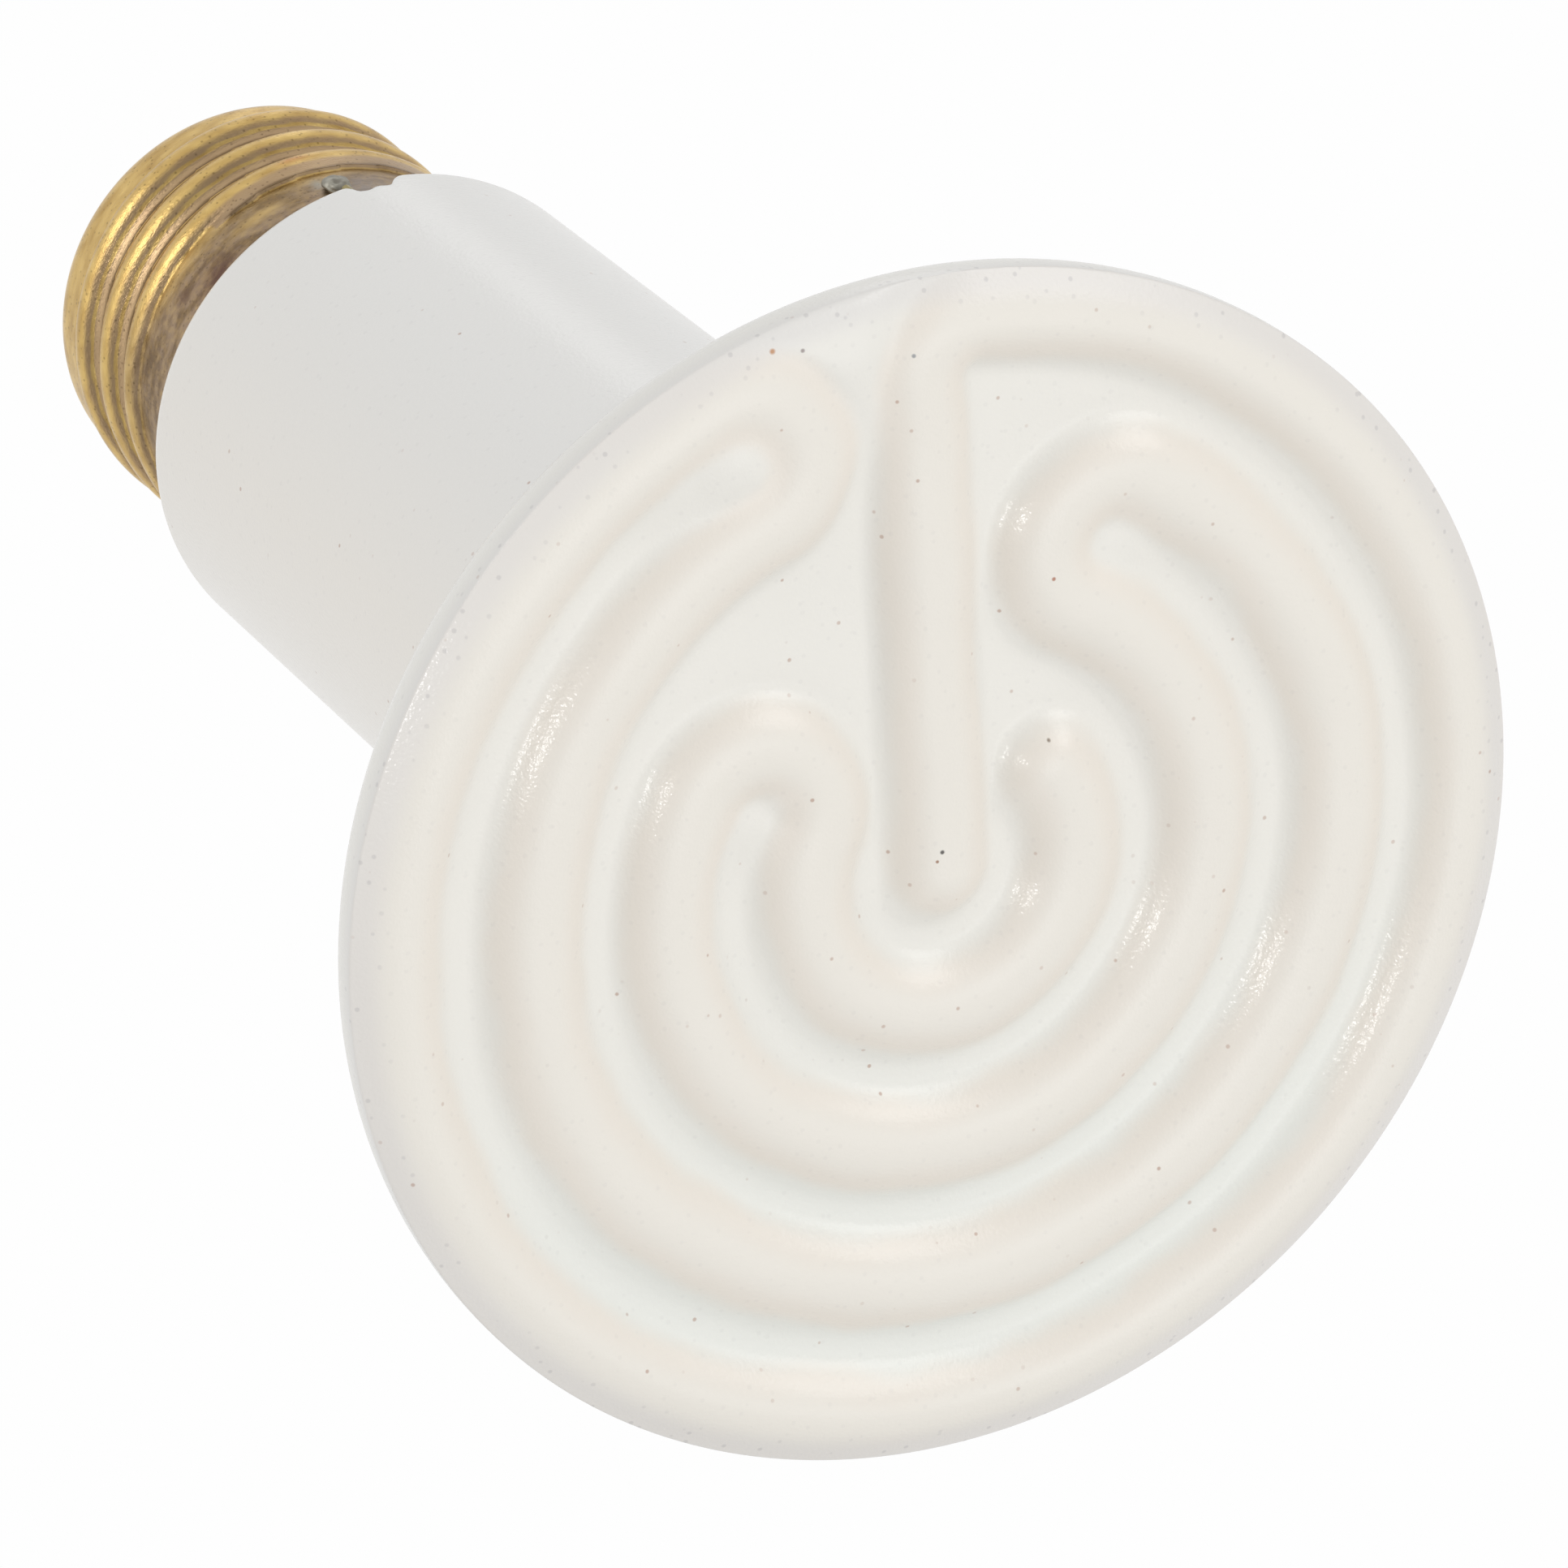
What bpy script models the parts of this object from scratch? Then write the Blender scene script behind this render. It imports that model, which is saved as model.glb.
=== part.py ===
# Ceramic heat emitter: a cast ceramic body with a serpentine ridge on its face, a wire coil cast in
# under that ridge, and a rolled brass screw base. Lengths are metres, angles are degrees.
# The ridged face lies down on z = 0 with its centre at the origin, and the screw base points up.
# Azimuths turn about +Z from +X. The straight ridge runs out from the centre along +Y.

import math

import bmesh
import bpy
import numpy as np
from mathutils import Vector

MM = 0.001

# Clearance that faces keep where two pieces touch
FIT_GAP = 0.3 * MM

# Ridged face
DISC_RADIUS = 37.5 * MM
RIM_INSET = 2.6 * MM  # from the disc's edge in to the outer ring's centre line
INNER_RING = 8.75 * MM  # radius of the inner ring's centre line
RING_COUNT = 4
RIDGE_HEIGHT = 1.8 * MM
RIDGE_CREST_HALF = 0.4 * MM  # half the width of the flat on top of the ridge
RIDGE_FOOT_HALF = 3.65 * MM  # half the width of the ridge at its foot
RIDGE_KNEE = 0.75  # share of the flank's width where the round crest turns into the foot's fillet
CORNER_RADIUS = 4.0 * MM  # bend from the straight ridge into the outer ring
OUTER_TURN_AZIMUTH = 67.5
MIDDLE_TURN_AZIMUTH = 123.5
INNER_TURN_AZIMUTH = 26.0
RIDGE_END_AZIMUTH = 147.0
RIM_FACE_ROUND = 2.6 * MM  # how far in from the edge the rim starts to round over
RIM_FACE_DROP = 1.4 * MM  # how far below the crest plane that rounding ends
VALLEY_LIP_WIDTH = 2.6 * MM  # where the flat floor rises again before it meets the rim
VALLEY_LIP_SHARE = 0.75

# Rim, flare and neck
RIM_SIDE = 0.3 * MM
RIM_BACK_WIDTH = 2.0 * MM
RIM_BACK_HEIGHT = 3.6 * MM
FLARE_HEIGHT = 30.7 * MM
FLARE_STEPS = 8
NECK_LAND = 3.1 * MM  # from the screw base's collar out to the neck's side
NECK_LENGTH = 43.4 * MM
NECK_DRAFT = 0.8 * MM  # how much the neck widens on its way down to the flare
NECK_EDGE_ROUND = 2.1 * MM
BORE_RADIUS = 5.0 * MM
BORE_FLOOR = 9.0 * MM
BORE_FILLET = 1.0 * MM

# Heating coil, drawn as a rod of the coil's outer size
COIL_RADIUS = 1.2 * MM
COIL_DEPTH = 2.3 * MM  # from the crest of the ridge to the coil's centre line
COIL_BEND = 3.0 * MM
COIL_TAIL = 4.0 * MM  # how far each tail stands up into the bore
TAIL_OFFSET = 2.2 * MM  # each tail's distance from the axis

# Screw base
COLLAR_RADIUS = 12.55 * MM
SHELL_WALL = 0.4 * MM
SHELL_HEIGHT = 21.6 * MM
SHELL_SHOULDER = 2.2 * MM
SHELL_FLANGE = 2.15 * MM  # from the shoulder's inner edge in to the hole
THREAD_PROUD = 0.55 * MM  # from the collar out to the thread's crest
THREAD_PITCH = 3.629 * MM
THREAD_ARC = 1.19 * MM
FIRST_CREST = 9.1 * MM  # from the shell's lower rim to the thread's crest at azimuth 0
THREAD_START_TURN = -0.42
THREAD_END_TURN = 2.6
THREAD_RAMP = 0.3  # turns over which the thread grows and fades
SEAT_DEPTH = 0.7 * MM  # the shell's rim stands this far down inside the neck's end
CEMENT_WIDTH = 0.7 * MM
SPIGOT_HEIGHT = 7.6 * MM

# Tip of the screw base
INSULATOR_FLANGE = 1.4 * MM
INSULATOR_LAP = 0.8 * MM  # how far it spreads over the shell's flange, and past the contact
INSULATOR_CONE_HEIGHT = 2.1 * MM
CONTACT_RADIUS = 4.6 * MM
CONTACT_THICKNESS = 0.7 * MM
EYELET_WALL = 0.6 * MM
EYELET_FLARE = 1.0 * MM
SOLDER_BEAD_RADIUS = 2.6 * MM
SOLDER_BEAD_HEIGHT = 0.8 * MM
SOLDER_BEAD_FLAT = 1.3 * MM

# Leads
LEAD_RADIUS = 0.3 * MM
LEAD_BEND = 2.2 * MM
SIDE_LEAD_BEND = 0.7 * MM
SIDE_LEAD_AZIMUTH = 97.0  # where the side lead comes out past the collar
SIDE_LEAD_RISE = 1.8 * MM  # above the neck's end, where it turns along the collar
SLEEVE_WALL = 0.5 * MM
SLEEVE_SPARE = 2.0 * MM  # bare lead at each end of a sleeve
NOTCH_AZIMUTH = 89.5
NOTCH_MOUTH = 4.0 * MM
NOTCH_FOOT = 2.2 * MM
NOTCH_DEPTH = 2.7 * MM
SIDE_SOLDER_AZIMUTH = 90.0
SIDE_SOLDER_HEIGHT = 4.9 * MM  # above the neck's end
SIDE_SOLDER_SIZE = (1.0 * MM, 0.5 * MM, 1.2 * MM)

# Mesh fineness
BODY_COLUMNS = 44
FINE_SPLIT = 3  # face columns to one body column where the ridge turns
FINE_FROM_AZIMUTH = 15.0
FINE_TO_AZIMUTH = 152.0
SHELL_COLUMNS = 28
ROWS_PER_PITCH = 6
COIL_SIDES = 6
COIL_STEP = 20.0
SMALL_COLUMNS = 24

# Places worked out from the sizes above
OUTER_RING = DISC_RADIUS - RIM_INSET
RING_PITCH = (OUTER_RING - INNER_RING) / (RING_COUNT - 1)
RINGS = [OUTER_RING - RING_PITCH * i for i in range(RING_COUNT)]
RIM_BACK_Z = RIM_FACE_DROP + RIM_SIDE
FLARE_START_Z = RIM_BACK_Z + RIM_BACK_HEIGHT
FLARE_END_Z = FLARE_START_Z + FLARE_HEIGHT
NECK_RADIUS = COLLAR_RADIUS + NECK_LAND
NECK_FOOT_RADIUS = NECK_RADIUS + NECK_DRAFT
NECK_END_Z = FLARE_END_Z + NECK_LENGTH
NOTCH_FLOOR_Z = NECK_END_Z - NOTCH_DEPTH
SEAT_Z = NECK_END_Z - SEAT_DEPTH
SHELL_RIM_Z = SEAT_Z + FIT_GAP
SHELL_TOP_Z = SHELL_RIM_Z + SHELL_HEIGHT
SHOULDER_RADIUS = COLLAR_RADIUS - SHELL_SHOULDER
SHELL_HOLE_RADIUS = SHOULDER_RADIUS - SHELL_FLANGE
THREAD_CREST_RADIUS = COLLAR_RADIUS + THREAD_PROUD
CEMENT_OUTER = COLLAR_RADIUS - SHELL_WALL - FIT_GAP
CEMENT_INNER = CEMENT_OUTER - CEMENT_WIDTH
SPIGOT_RADIUS = CEMENT_INNER - FIT_GAP
SPIGOT_TOP_Z = SEAT_Z + SPIGOT_HEIGHT
SEAT_RADIUS = COLLAR_RADIUS + FIT_GAP
TAIL_TOP_Z = BORE_FLOOR + COIL_TAIL
INSULATOR_BASE_Z = SHELL_TOP_Z - SHELL_WALL - FIT_GAP - INSULATOR_FLANGE
INSULATOR_CONE_RADIUS = SHELL_HOLE_RADIUS + INSULATOR_LAP
INSULATOR_TOP_RADIUS = CONTACT_RADIUS + INSULATOR_LAP
INSULATOR_TOP_Z = SHELL_TOP_Z + FIT_GAP + INSULATOR_CONE_HEIGHT
CONTACT_Z = INSULATOR_TOP_Z + FIT_GAP
SOLDER_Z = CONTACT_Z + CONTACT_THICKNESS + FIT_GAP
EYELET_HOLE = LEAD_RADIUS + FIT_GAP
EYELET_RADIUS = EYELET_HOLE + EYELET_WALL
LEAD_EXIT_Z = SEAT_Z - LEAD_RADIUS
LEAD_OUTSIDE = COLLAR_RADIUS + FIT_GAP + LEAD_RADIUS


def clear_scene():
    for obj in list(bpy.data.objects):
        bpy.data.objects.remove(obj)


def material(name, colour, roughness, metallic=0.0):
    made = bpy.data.materials.new(name)
    made.use_nodes = True
    shader = made.node_tree.nodes["Principled BSDF"]
    shader.inputs["Base Color"].default_value = (*colour, 1.0)
    shader.inputs["Roughness"].default_value = roughness
    shader.inputs["Metallic"].default_value = metallic
    return made


def finish(name, mesh_data, surface, sharp_angle=40.0):
    # Closes off a bmesh as a named object with outward faces, smooth apart from its sharp edges
    bmesh.ops.recalc_face_normals(mesh_data, faces=mesh_data.faces)
    mesh = bpy.data.meshes.new(name)
    mesh_data.to_mesh(mesh)
    mesh_data.free()
    mesh.shade_smooth()
    mesh.set_sharp_from_angle(angle=math.radians(sharp_angle))
    obj = bpy.data.objects.new(name, mesh)
    bpy.context.scene.collection.objects.link(obj)
    if surface:
        obj.data.materials.append(surface)
    return obj


def circle(radius, z, azimuths):
    return [(radius * math.cos(a), radius * math.sin(a), z) for a in azimuths]


def turns(columns):
    return [2 * math.pi * i / columns for i in range(columns)]


def add_ring(mesh_data, points):
    return [mesh_data.verts.new(p) for p in points]


def bridge(mesh_data, lower, upper):
    # Joins two rings of the same count, or a ring and a single pole vertex
    if len(lower) < len(upper):
        lower, upper = upper, lower
    count = len(lower)
    for i in range(count):
        j = (i + 1) % count
        if len(upper) == 1:
            mesh_data.faces.new((lower[i], lower[j], upper[0]))
        else:
            mesh_data.faces.new((lower[i], lower[j], upper[j], upper[i]))


def revolve(name, profile, surface, columns=SMALL_COLUMNS, sharp_angle=40.0):
    # Turns a closed (radius, z) profile about Z. A point with radius 0 becomes a pole.
    mesh_data = bmesh.new()
    rings = [add_ring(mesh_data, circle(r, z, turns(columns)) if r > 0 else [(0, 0, z)]) for r, z in profile]
    for i, ring in enumerate(rings):
        following = rings[(i + 1) % len(rings)]
        if len(ring) > 1 or len(following) > 1:
            bridge(mesh_data, ring, following)
    return finish(name, mesh_data, surface, sharp_angle)


def sweep(name, path, radius, sides, surface):
    # Carries a round section along a line of points, and caps both ends
    mesh_data = bmesh.new()
    points = [Vector(p) for p in path]
    side = None
    rings = []
    for i, point in enumerate(points):
        ahead = points[min(i + 1, len(points) - 1)] - points[max(i - 1, 0)]
        ahead.normalize()
        side = ahead.orthogonal() if side is None else side - ahead * side.dot(ahead)
        side.normalize()
        other = ahead.cross(side)
        section = [point + radius * (side * math.cos(a) + other * math.sin(a)) for a in turns(sides)]
        rings.append(add_ring(mesh_data, section))
    for lower, upper in zip(rings, rings[1:]):
        bridge(mesh_data, lower, upper)
    mesh_data.faces.new(rings[0])
    mesh_data.faces.new(rings[-1])
    return finish(name, mesh_data, surface)


def arc_points(centre, radius, start, end, step):
    count = max(1, math.ceil(abs(end - start) / step))
    angles = [math.radians(start + (end - start) * i / count) for i in range(count + 1)]
    return [(centre[0] + radius * math.cos(a), centre[1] + radius * math.sin(a)) for a in angles]


def ridge_arcs():
    # The curved stretches of the ridge's centre line, as (centre, radius, start, end) in the order
    # in which the ridge runs: corner, outer ring, turn, ring, turn, ring, turn, inner ring.
    corner_y = math.sqrt((OUTER_RING - CORNER_RADIUS) ** 2 - CORNER_RADIUS**2)
    corner_end = math.degrees(math.atan2(corner_y, -CORNER_RADIUS))
    outer_end = OUTER_TURN_AZIMUTH + 360
    inner_end = INNER_TURN_AZIMUTH + 360
    origin = (0.0, 0.0)
    half = RING_PITCH / 2

    def turn_centre(ring, azimuth):
        radius = RINGS[ring] - half
        return (radius * math.cos(math.radians(azimuth)), radius * math.sin(math.radians(azimuth)))

    return [
        ((-CORNER_RADIUS, corner_y), CORNER_RADIUS, 0.0, corner_end),
        (origin, RINGS[0], corner_end, outer_end),
        (turn_centre(0, outer_end), half, outer_end, outer_end + 180),
        (origin, RINGS[1], outer_end, MIDDLE_TURN_AZIMUTH),
        (turn_centre(1, MIDDLE_TURN_AZIMUTH), half, MIDDLE_TURN_AZIMUTH, MIDDLE_TURN_AZIMUTH - 180),
        (origin, RINGS[2], MIDDLE_TURN_AZIMUTH, inner_end),
        (turn_centre(2, inner_end), half, inner_end, inner_end + 180),
        (origin, RINGS[3], inner_end, RIDGE_END_AZIMUTH),
    ]


def ridge_distance(x, y):
    # Distance from each point to the ridge's centre line
    corner = ridge_arcs()[0][0]
    nearest = np.hypot(x, y - np.clip(y, 0.0, corner[1]))
    for centre, radius, start, end in ridge_arcs():
        dx, dy = x - centre[0], y - centre[1]
        low, high = min(start, end), max(start, end)
        angle = (np.degrees(np.arctan2(dy, dx)) - low) % 360
        on_arc = np.abs(np.hypot(dx, dy) - radius)
        ends = [np.hypot(dx - radius * math.cos(a), dy - radius * math.sin(a)) for a in np.radians([low, high])]
        away = np.where(angle <= high - low, on_arc, np.minimum(*ends))
        nearest = np.minimum(nearest, away)
    return nearest


def smooth_step(value):
    value = np.clip(value, 0.0, 1.0)
    return value * value * (3 - 2 * value)


def ridge_fall(distance):
    # 0 on the crest and 1 on the floor, with a round crest that turns into a tighter foot at the knee
    t = np.clip((distance - RIDGE_CREST_HALF) / (RIDGE_FOOT_HALF - RIDGE_CREST_HALF), 0.0, 1.0)
    return np.where(t < RIDGE_KNEE, t**2 / RIDGE_KNEE, 1 - (1 - t) ** 2 / (1 - RIDGE_KNEE))


def face_height(x, y):
    # Height of the face above the crest plane: 0 on the ridge's top, RIDGE_HEIGHT on the floor, less
    # where the floor rises to the lip, and RIM_FACE_DROP all along the disc's edge
    radius = np.hypot(x, y)
    fall = ridge_fall(ridge_distance(x, y))
    lip_start = DISC_RADIUS - RIM_FACE_ROUND - VALLEY_LIP_WIDTH
    lip = VALLEY_LIP_SHARE * smooth_step((radius - lip_start) / VALLEY_LIP_WIDTH)
    floor = RIDGE_HEIGHT * fall * (1 - lip * fall)
    reach = np.clip((radius - DISC_RADIUS + RIM_FACE_ROUND) / RIM_FACE_ROUND, 0.0, 1.0)
    rim = 1 - np.sqrt(1 - reach**2)
    return floor + (RIM_FACE_DROP - floor) * rim


def face_columns():
    # Azimuths of the face's columns, and how many of them each body column takes
    azimuths, splits = [], []
    for i in range(BODY_COLUMNS):
        start = 360 * i / BODY_COLUMNS
        split = FINE_SPLIT if FINE_FROM_AZIMUTH - 0.01 <= start < FINE_TO_AZIMUTH - 0.01 else 1
        azimuths += [math.radians(start + 360 * k / (BODY_COLUMNS * split)) for k in range(split)]
        splits.append(split)
    return azimuths, splits


def face_radii():
    # Rows run along each ring's crest, knee and foot, so that the rings come out crisp
    flank = RIDGE_FOOT_HALF - RIDGE_CREST_HALF
    offsets = [RIDGE_CREST_HALF + flank * share for share in (0.0, RIDGE_KNEE / 2, RIDGE_KNEE, 1.0)]
    radii = offsets[:3]
    for ring in reversed(RINGS):
        radii += [ring - offset for offset in reversed(offsets)]
        radii += [ring + offset for offset in offsets]
    rim = [DISC_RADIUS - RIM_FACE_ROUND * (1 - math.sin(math.radians(a))) for a in (0, 35, 65, 90)]
    inside = [r for r in radii if 0 < r < rim[0] - 0.2 * MM]
    return sorted(inside) + rim


def body_profile():
    # (radius, z) from the rim's edge over the back and up the neck, then down the bore
    flare_radius = DISC_RADIUS - RIM_BACK_WIDTH
    points = [(DISC_RADIUS, RIM_BACK_Z)]
    for a in np.radians((35, 65)):
        points.append((flare_radius + RIM_BACK_WIDTH * math.cos(a), RIM_BACK_Z + RIM_BACK_HEIGHT * math.sin(a)))
    for i in range(FLARE_STEPS + 1):
        a = math.radians(90) * i / FLARE_STEPS
        radius = flare_radius - (flare_radius - NECK_FOOT_RADIUS) * math.sin(a)
        points.append((radius, FLARE_END_Z - FLARE_HEIGHT * math.cos(a)))
    points.append((NECK_RADIUS + NECK_DRAFT * NOTCH_DEPTH / NECK_LENGTH, NOTCH_FLOOR_Z - NECK_EDGE_ROUND))
    for a in np.radians((0, 30, 60, 90)):
        radius = NECK_RADIUS - NECK_EDGE_ROUND * (1 - math.cos(a))
        points.append((radius, NECK_END_Z - NECK_EDGE_ROUND * (1 - math.sin(a))))
    points += [(SEAT_RADIUS, NECK_END_Z), (SEAT_RADIUS, SEAT_Z), (SPIGOT_RADIUS, SEAT_Z)]
    points += [(SPIGOT_RADIUS, SPIGOT_TOP_Z - FIT_GAP), (SPIGOT_RADIUS - FIT_GAP, SPIGOT_TOP_Z)]
    points += [(BORE_RADIUS + FIT_GAP, SPIGOT_TOP_Z), (BORE_RADIUS, SPIGOT_TOP_Z - FIT_GAP)]
    points += [(BORE_RADIUS, BORE_FLOOR + BORE_FILLET), (BORE_RADIUS - 0.3 * BORE_FILLET, BORE_FLOOR + 0.3 * BORE_FILLET)]
    points.append((BORE_RADIUS - BORE_FILLET, BORE_FLOOR))
    return points


def cylinder_cutter(name, radius, start, end):
    cutter = sweep(name, [start, end], radius, 16, None)
    cutter.hide_render = True
    cutter.display_type = "WIRE"
    return cutter


def notch_cutter(inner, outer):
    # A wedge that is narrower at the notch's foot than at its mouth, and runs out through the neck's side
    over = NECK_EDGE_ROUND / NOTCH_DEPTH
    top = NOTCH_MOUTH / 2 + over * (NOTCH_MOUTH - NOTCH_FOOT) / 2
    top_z = NECK_END_Z + NECK_EDGE_ROUND
    section = [(-NOTCH_FOOT / 2, NOTCH_FLOOR_Z), (NOTCH_FOOT / 2, NOTCH_FLOOR_Z), (top, top_z), (-top, top_z)]
    mesh_data = bmesh.new()
    ends = [add_ring(mesh_data, [(x, y, z) for y, z in section]) for x in (inner, outer)]
    bridge(mesh_data, *ends)
    for end in ends:
        mesh_data.faces.new(end)
    cutter = finish("notch_cutter", mesh_data, None)
    cutter.rotation_euler.z = math.radians(NOTCH_AZIMUTH)
    cutter.hide_render = True
    cutter.display_type = "WIRE"
    return cutter


def cut(obj, cutter):
    boolean = obj.modifiers.new(cutter.name, "BOOLEAN")
    boolean.operation = "DIFFERENCE"
    boolean.solver = "EXACT"
    boolean.object = cutter


def coil_path():
    # The coil follows the ridge's centre line, and both its ends turn up into the bore
    z = COIL_DEPTH
    bend = [math.radians(a) for a in (0, 30, 60, 90)]
    start = COIL_BEND - TAIL_OFFSET
    path = [(0.0, -TAIL_OFFSET, TAIL_TOP_Z)]
    path += [(0.0, start - COIL_BEND * math.cos(a), z + COIL_BEND * (1 - math.sin(a))) for a in bend]
    for centre, radius, first, last in ridge_arcs():
        step = COIL_STEP if radius > RINGS[3] - 0.1 * MM else 2 * COIL_STEP
        points = arc_points(centre, radius, first, last, step)
        path += [(x, y, z) for x, y in (points if len(path) == 5 else points[1:])]
    end = Vector(path[-1])
    ahead = (end - Vector(path[-2])).normalized()
    top = Vector((0.0, TAIL_OFFSET, TAIL_TOP_Z))
    pull = end + ahead * COIL_BEND
    push = Vector((0.0, TAIL_OFFSET, z + 1.6 * COIL_BEND))
    for t in (0.15, 0.3, 0.45, 0.6, 0.75, 0.88, 1.0):
        s = 1 - t
        path.append(tuple(s**3 * end + 3 * s * s * t * pull + 3 * s * t * t * push + t**3 * top))
    return path


def make_ceramic_body(surface):
    mesh_data = bmesh.new()
    azimuths, splits = face_columns()
    rings = [add_ring(mesh_data, [(0.0, 0.0, float(face_height(np.array(0.0), np.array(0.0))))])]
    for radius in face_radii():
        points = np.array(circle(radius, 0.0, azimuths))
        points[:, 2] = face_height(points[:, 0], points[:, 1])
        rings.append(add_ring(mesh_data, points))
    for lower, upper in zip(rings, rings[1:]):
        bridge(mesh_data, lower, upper)
    body = [add_ring(mesh_data, circle(r, z, turns(BODY_COLUMNS))) for r, z in body_profile()]
    # The face has more columns than the back, so its vertices are shared out between two body columns
    edge, first = rings[-1], 0
    for i, split in enumerate(splits):
        here, following = body[0][i], body[0][(i + 1) % BODY_COLUMNS]
        along = [edge[(first + k) % len(edge)] for k in range(split + 1)]
        for k in range(split):
            mesh_data.faces.new((here if k < split // 2 else following, along[k], along[k + 1]))
        mesh_data.faces.new((here, along[split // 2], following))
        first += split
    body.append(add_ring(mesh_data, [(0.0, 0.0, BORE_FLOOR)]))
    for lower, upper in zip(body, body[1:]):
        bridge(mesh_data, lower, upper)
    obj = finish("ceramic_body", mesh_data, surface, 50.0)
    channel = sweep("coil_channel_cutter", coil_path(), COIL_RADIUS + FIT_GAP, COIL_SIDES, None)
    channel.hide_render = True
    channel.display_type = "WIRE"
    cut(obj, channel)
    inside, outside = side_lead_run()
    ahead = (outside - inside).normalized()
    spare = ahead * (LEAD_RADIUS + FIT_GAP)
    cut(obj, cylinder_cutter("lead_hole_cutter", LEAD_RADIUS + FIT_GAP, inside, outside + spare))
    cut(obj, notch_cutter(COLLAR_RADIUS - FIT_GAP, NECK_RADIUS + NECK_EDGE_ROUND))
    return obj


def thread_radius(azimuth, z):
    # Radius of the rolled sheet's outside: the collar, with the round-crested thread worked into it
    height = z - SHELL_RIM_Z - FIRST_CREST
    turn = height / THREAD_PITCH - azimuth / (2 * math.pi)
    nearest = round(turn)
    along = nearest + azimuth / (2 * math.pi)
    offset = abs(turn - nearest) * THREAD_PITCH
    quarter = THREAD_PITCH / 4
    if offset <= quarter:
        drop = THREAD_ARC - math.sqrt(THREAD_ARC**2 - offset**2)
    else:
        depth = 2 * (THREAD_ARC - math.sqrt(THREAD_ARC**2 - quarter**2))
        drop = depth - THREAD_ARC + math.sqrt(THREAD_ARC**2 - (2 * quarter - offset) ** 2)
    grow = float(smooth_step((along - THREAD_START_TURN) / THREAD_RAMP))
    fade = float(smooth_step((THREAD_END_TURN - along) / THREAD_RAMP))
    return COLLAR_RADIUS + grow * fade * (THREAD_CREST_RADIUS - drop - COLLAR_RADIUS)


def make_screw_shell(surface):
    # Rolled brass sheet of even wall: collar, thread, rounded shoulder and a flange round the tip
    mesh_data = bmesh.new()
    columns = turns(SHELL_COLUMNS)
    shoulder_z = SHELL_TOP_Z - SHELL_SHOULDER
    thread_z = SHELL_RIM_Z + FIRST_CREST + (THREAD_START_TURN - 0.5) * THREAD_PITCH
    count = math.ceil((shoulder_z - thread_z) / THREAD_PITCH * ROWS_PER_PITCH)
    heights = [SHELL_RIM_Z] + [thread_z + (shoulder_z - thread_z) * i / count for i in range(count + 1)]

    def wall(inward):
        rings = []
        for z in heights:
            ring = [(thread_radius(a, z) - inward, a) for a in columns]
            rings.append([(r * math.cos(a), r * math.sin(a), z) for r, a in ring])
        round_radius = SHELL_SHOULDER - inward
        for a in np.radians((25, 45, 67, 90)):
            radius = SHOULDER_RADIUS + round_radius * math.cos(a)
            rings.append(circle(radius, shoulder_z + round_radius * math.sin(a), columns))
        rings.append(circle(SHELL_HOLE_RADIUS, SHELL_TOP_Z - inward, columns))
        return rings

    rings = [add_ring(mesh_data, ring) for ring in wall(0.0) + wall(SHELL_WALL)[::-1]]
    for lower, upper in zip(rings, rings[1:] + rings[:1]):
        bridge(mesh_data, lower, upper)
    return finish("screw_shell", mesh_data, surface, 50.0)


def make_base_cement(surface):
    # Ring of cement that holds the shell's collar on the ceramic spigot
    low = SEAT_Z + 2 * FIT_GAP
    high = SPIGOT_TOP_Z - FIT_GAP
    profile = [(CEMENT_INNER, low), (CEMENT_OUTER, low), (CEMENT_OUTER, high), (CEMENT_INNER, high)]
    return revolve("base_cement", profile, surface, SHELL_COLUMNS)


def make_tip_insulator(surface):
    under = SHELL_TOP_Z - SHELL_WALL - FIT_GAP
    over = SHELL_TOP_Z + FIT_GAP
    waist = SHELL_HOLE_RADIUS - FIT_GAP
    profile = [
        (EYELET_RADIUS + FIT_GAP, INSULATOR_BASE_Z),
        (SHOULDER_RADIUS, INSULATOR_BASE_Z),
        (SHOULDER_RADIUS, under),
        (waist, under),
        (waist, over),
        (INSULATOR_CONE_RADIUS, over),
        (INSULATOR_CONE_RADIUS - FIT_GAP, over + 2 * FIT_GAP),
        (INSULATOR_TOP_RADIUS, INSULATOR_TOP_Z),
        (EYELET_RADIUS + FIT_GAP, INSULATOR_TOP_Z),
    ]
    return revolve("tip_insulator", profile, surface, SMALL_COLUMNS, 25.0)


def make_centre_contact(surface):
    # An eyelet: its head is the lamp contact, and its flared foot clinches it to the insulator
    foot = INSULATOR_BASE_Z - FIT_GAP
    top = CONTACT_Z + CONTACT_THICKNESS
    profile = [
        (EYELET_HOLE, foot - EYELET_FLARE / 2),
        (EYELET_RADIUS + EYELET_FLARE, foot - EYELET_FLARE / 2),
        (EYELET_RADIUS + EYELET_FLARE, foot),
        (EYELET_RADIUS, foot),
        (EYELET_RADIUS, CONTACT_Z),
        (CONTACT_RADIUS, CONTACT_Z),
        (CONTACT_RADIUS, top - CONTACT_THICKNESS / 3),
        (CONTACT_RADIUS - CONTACT_THICKNESS / 3, top),
        (EYELET_HOLE, top),
    ]
    return revolve("centre_contact", profile, surface)


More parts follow.
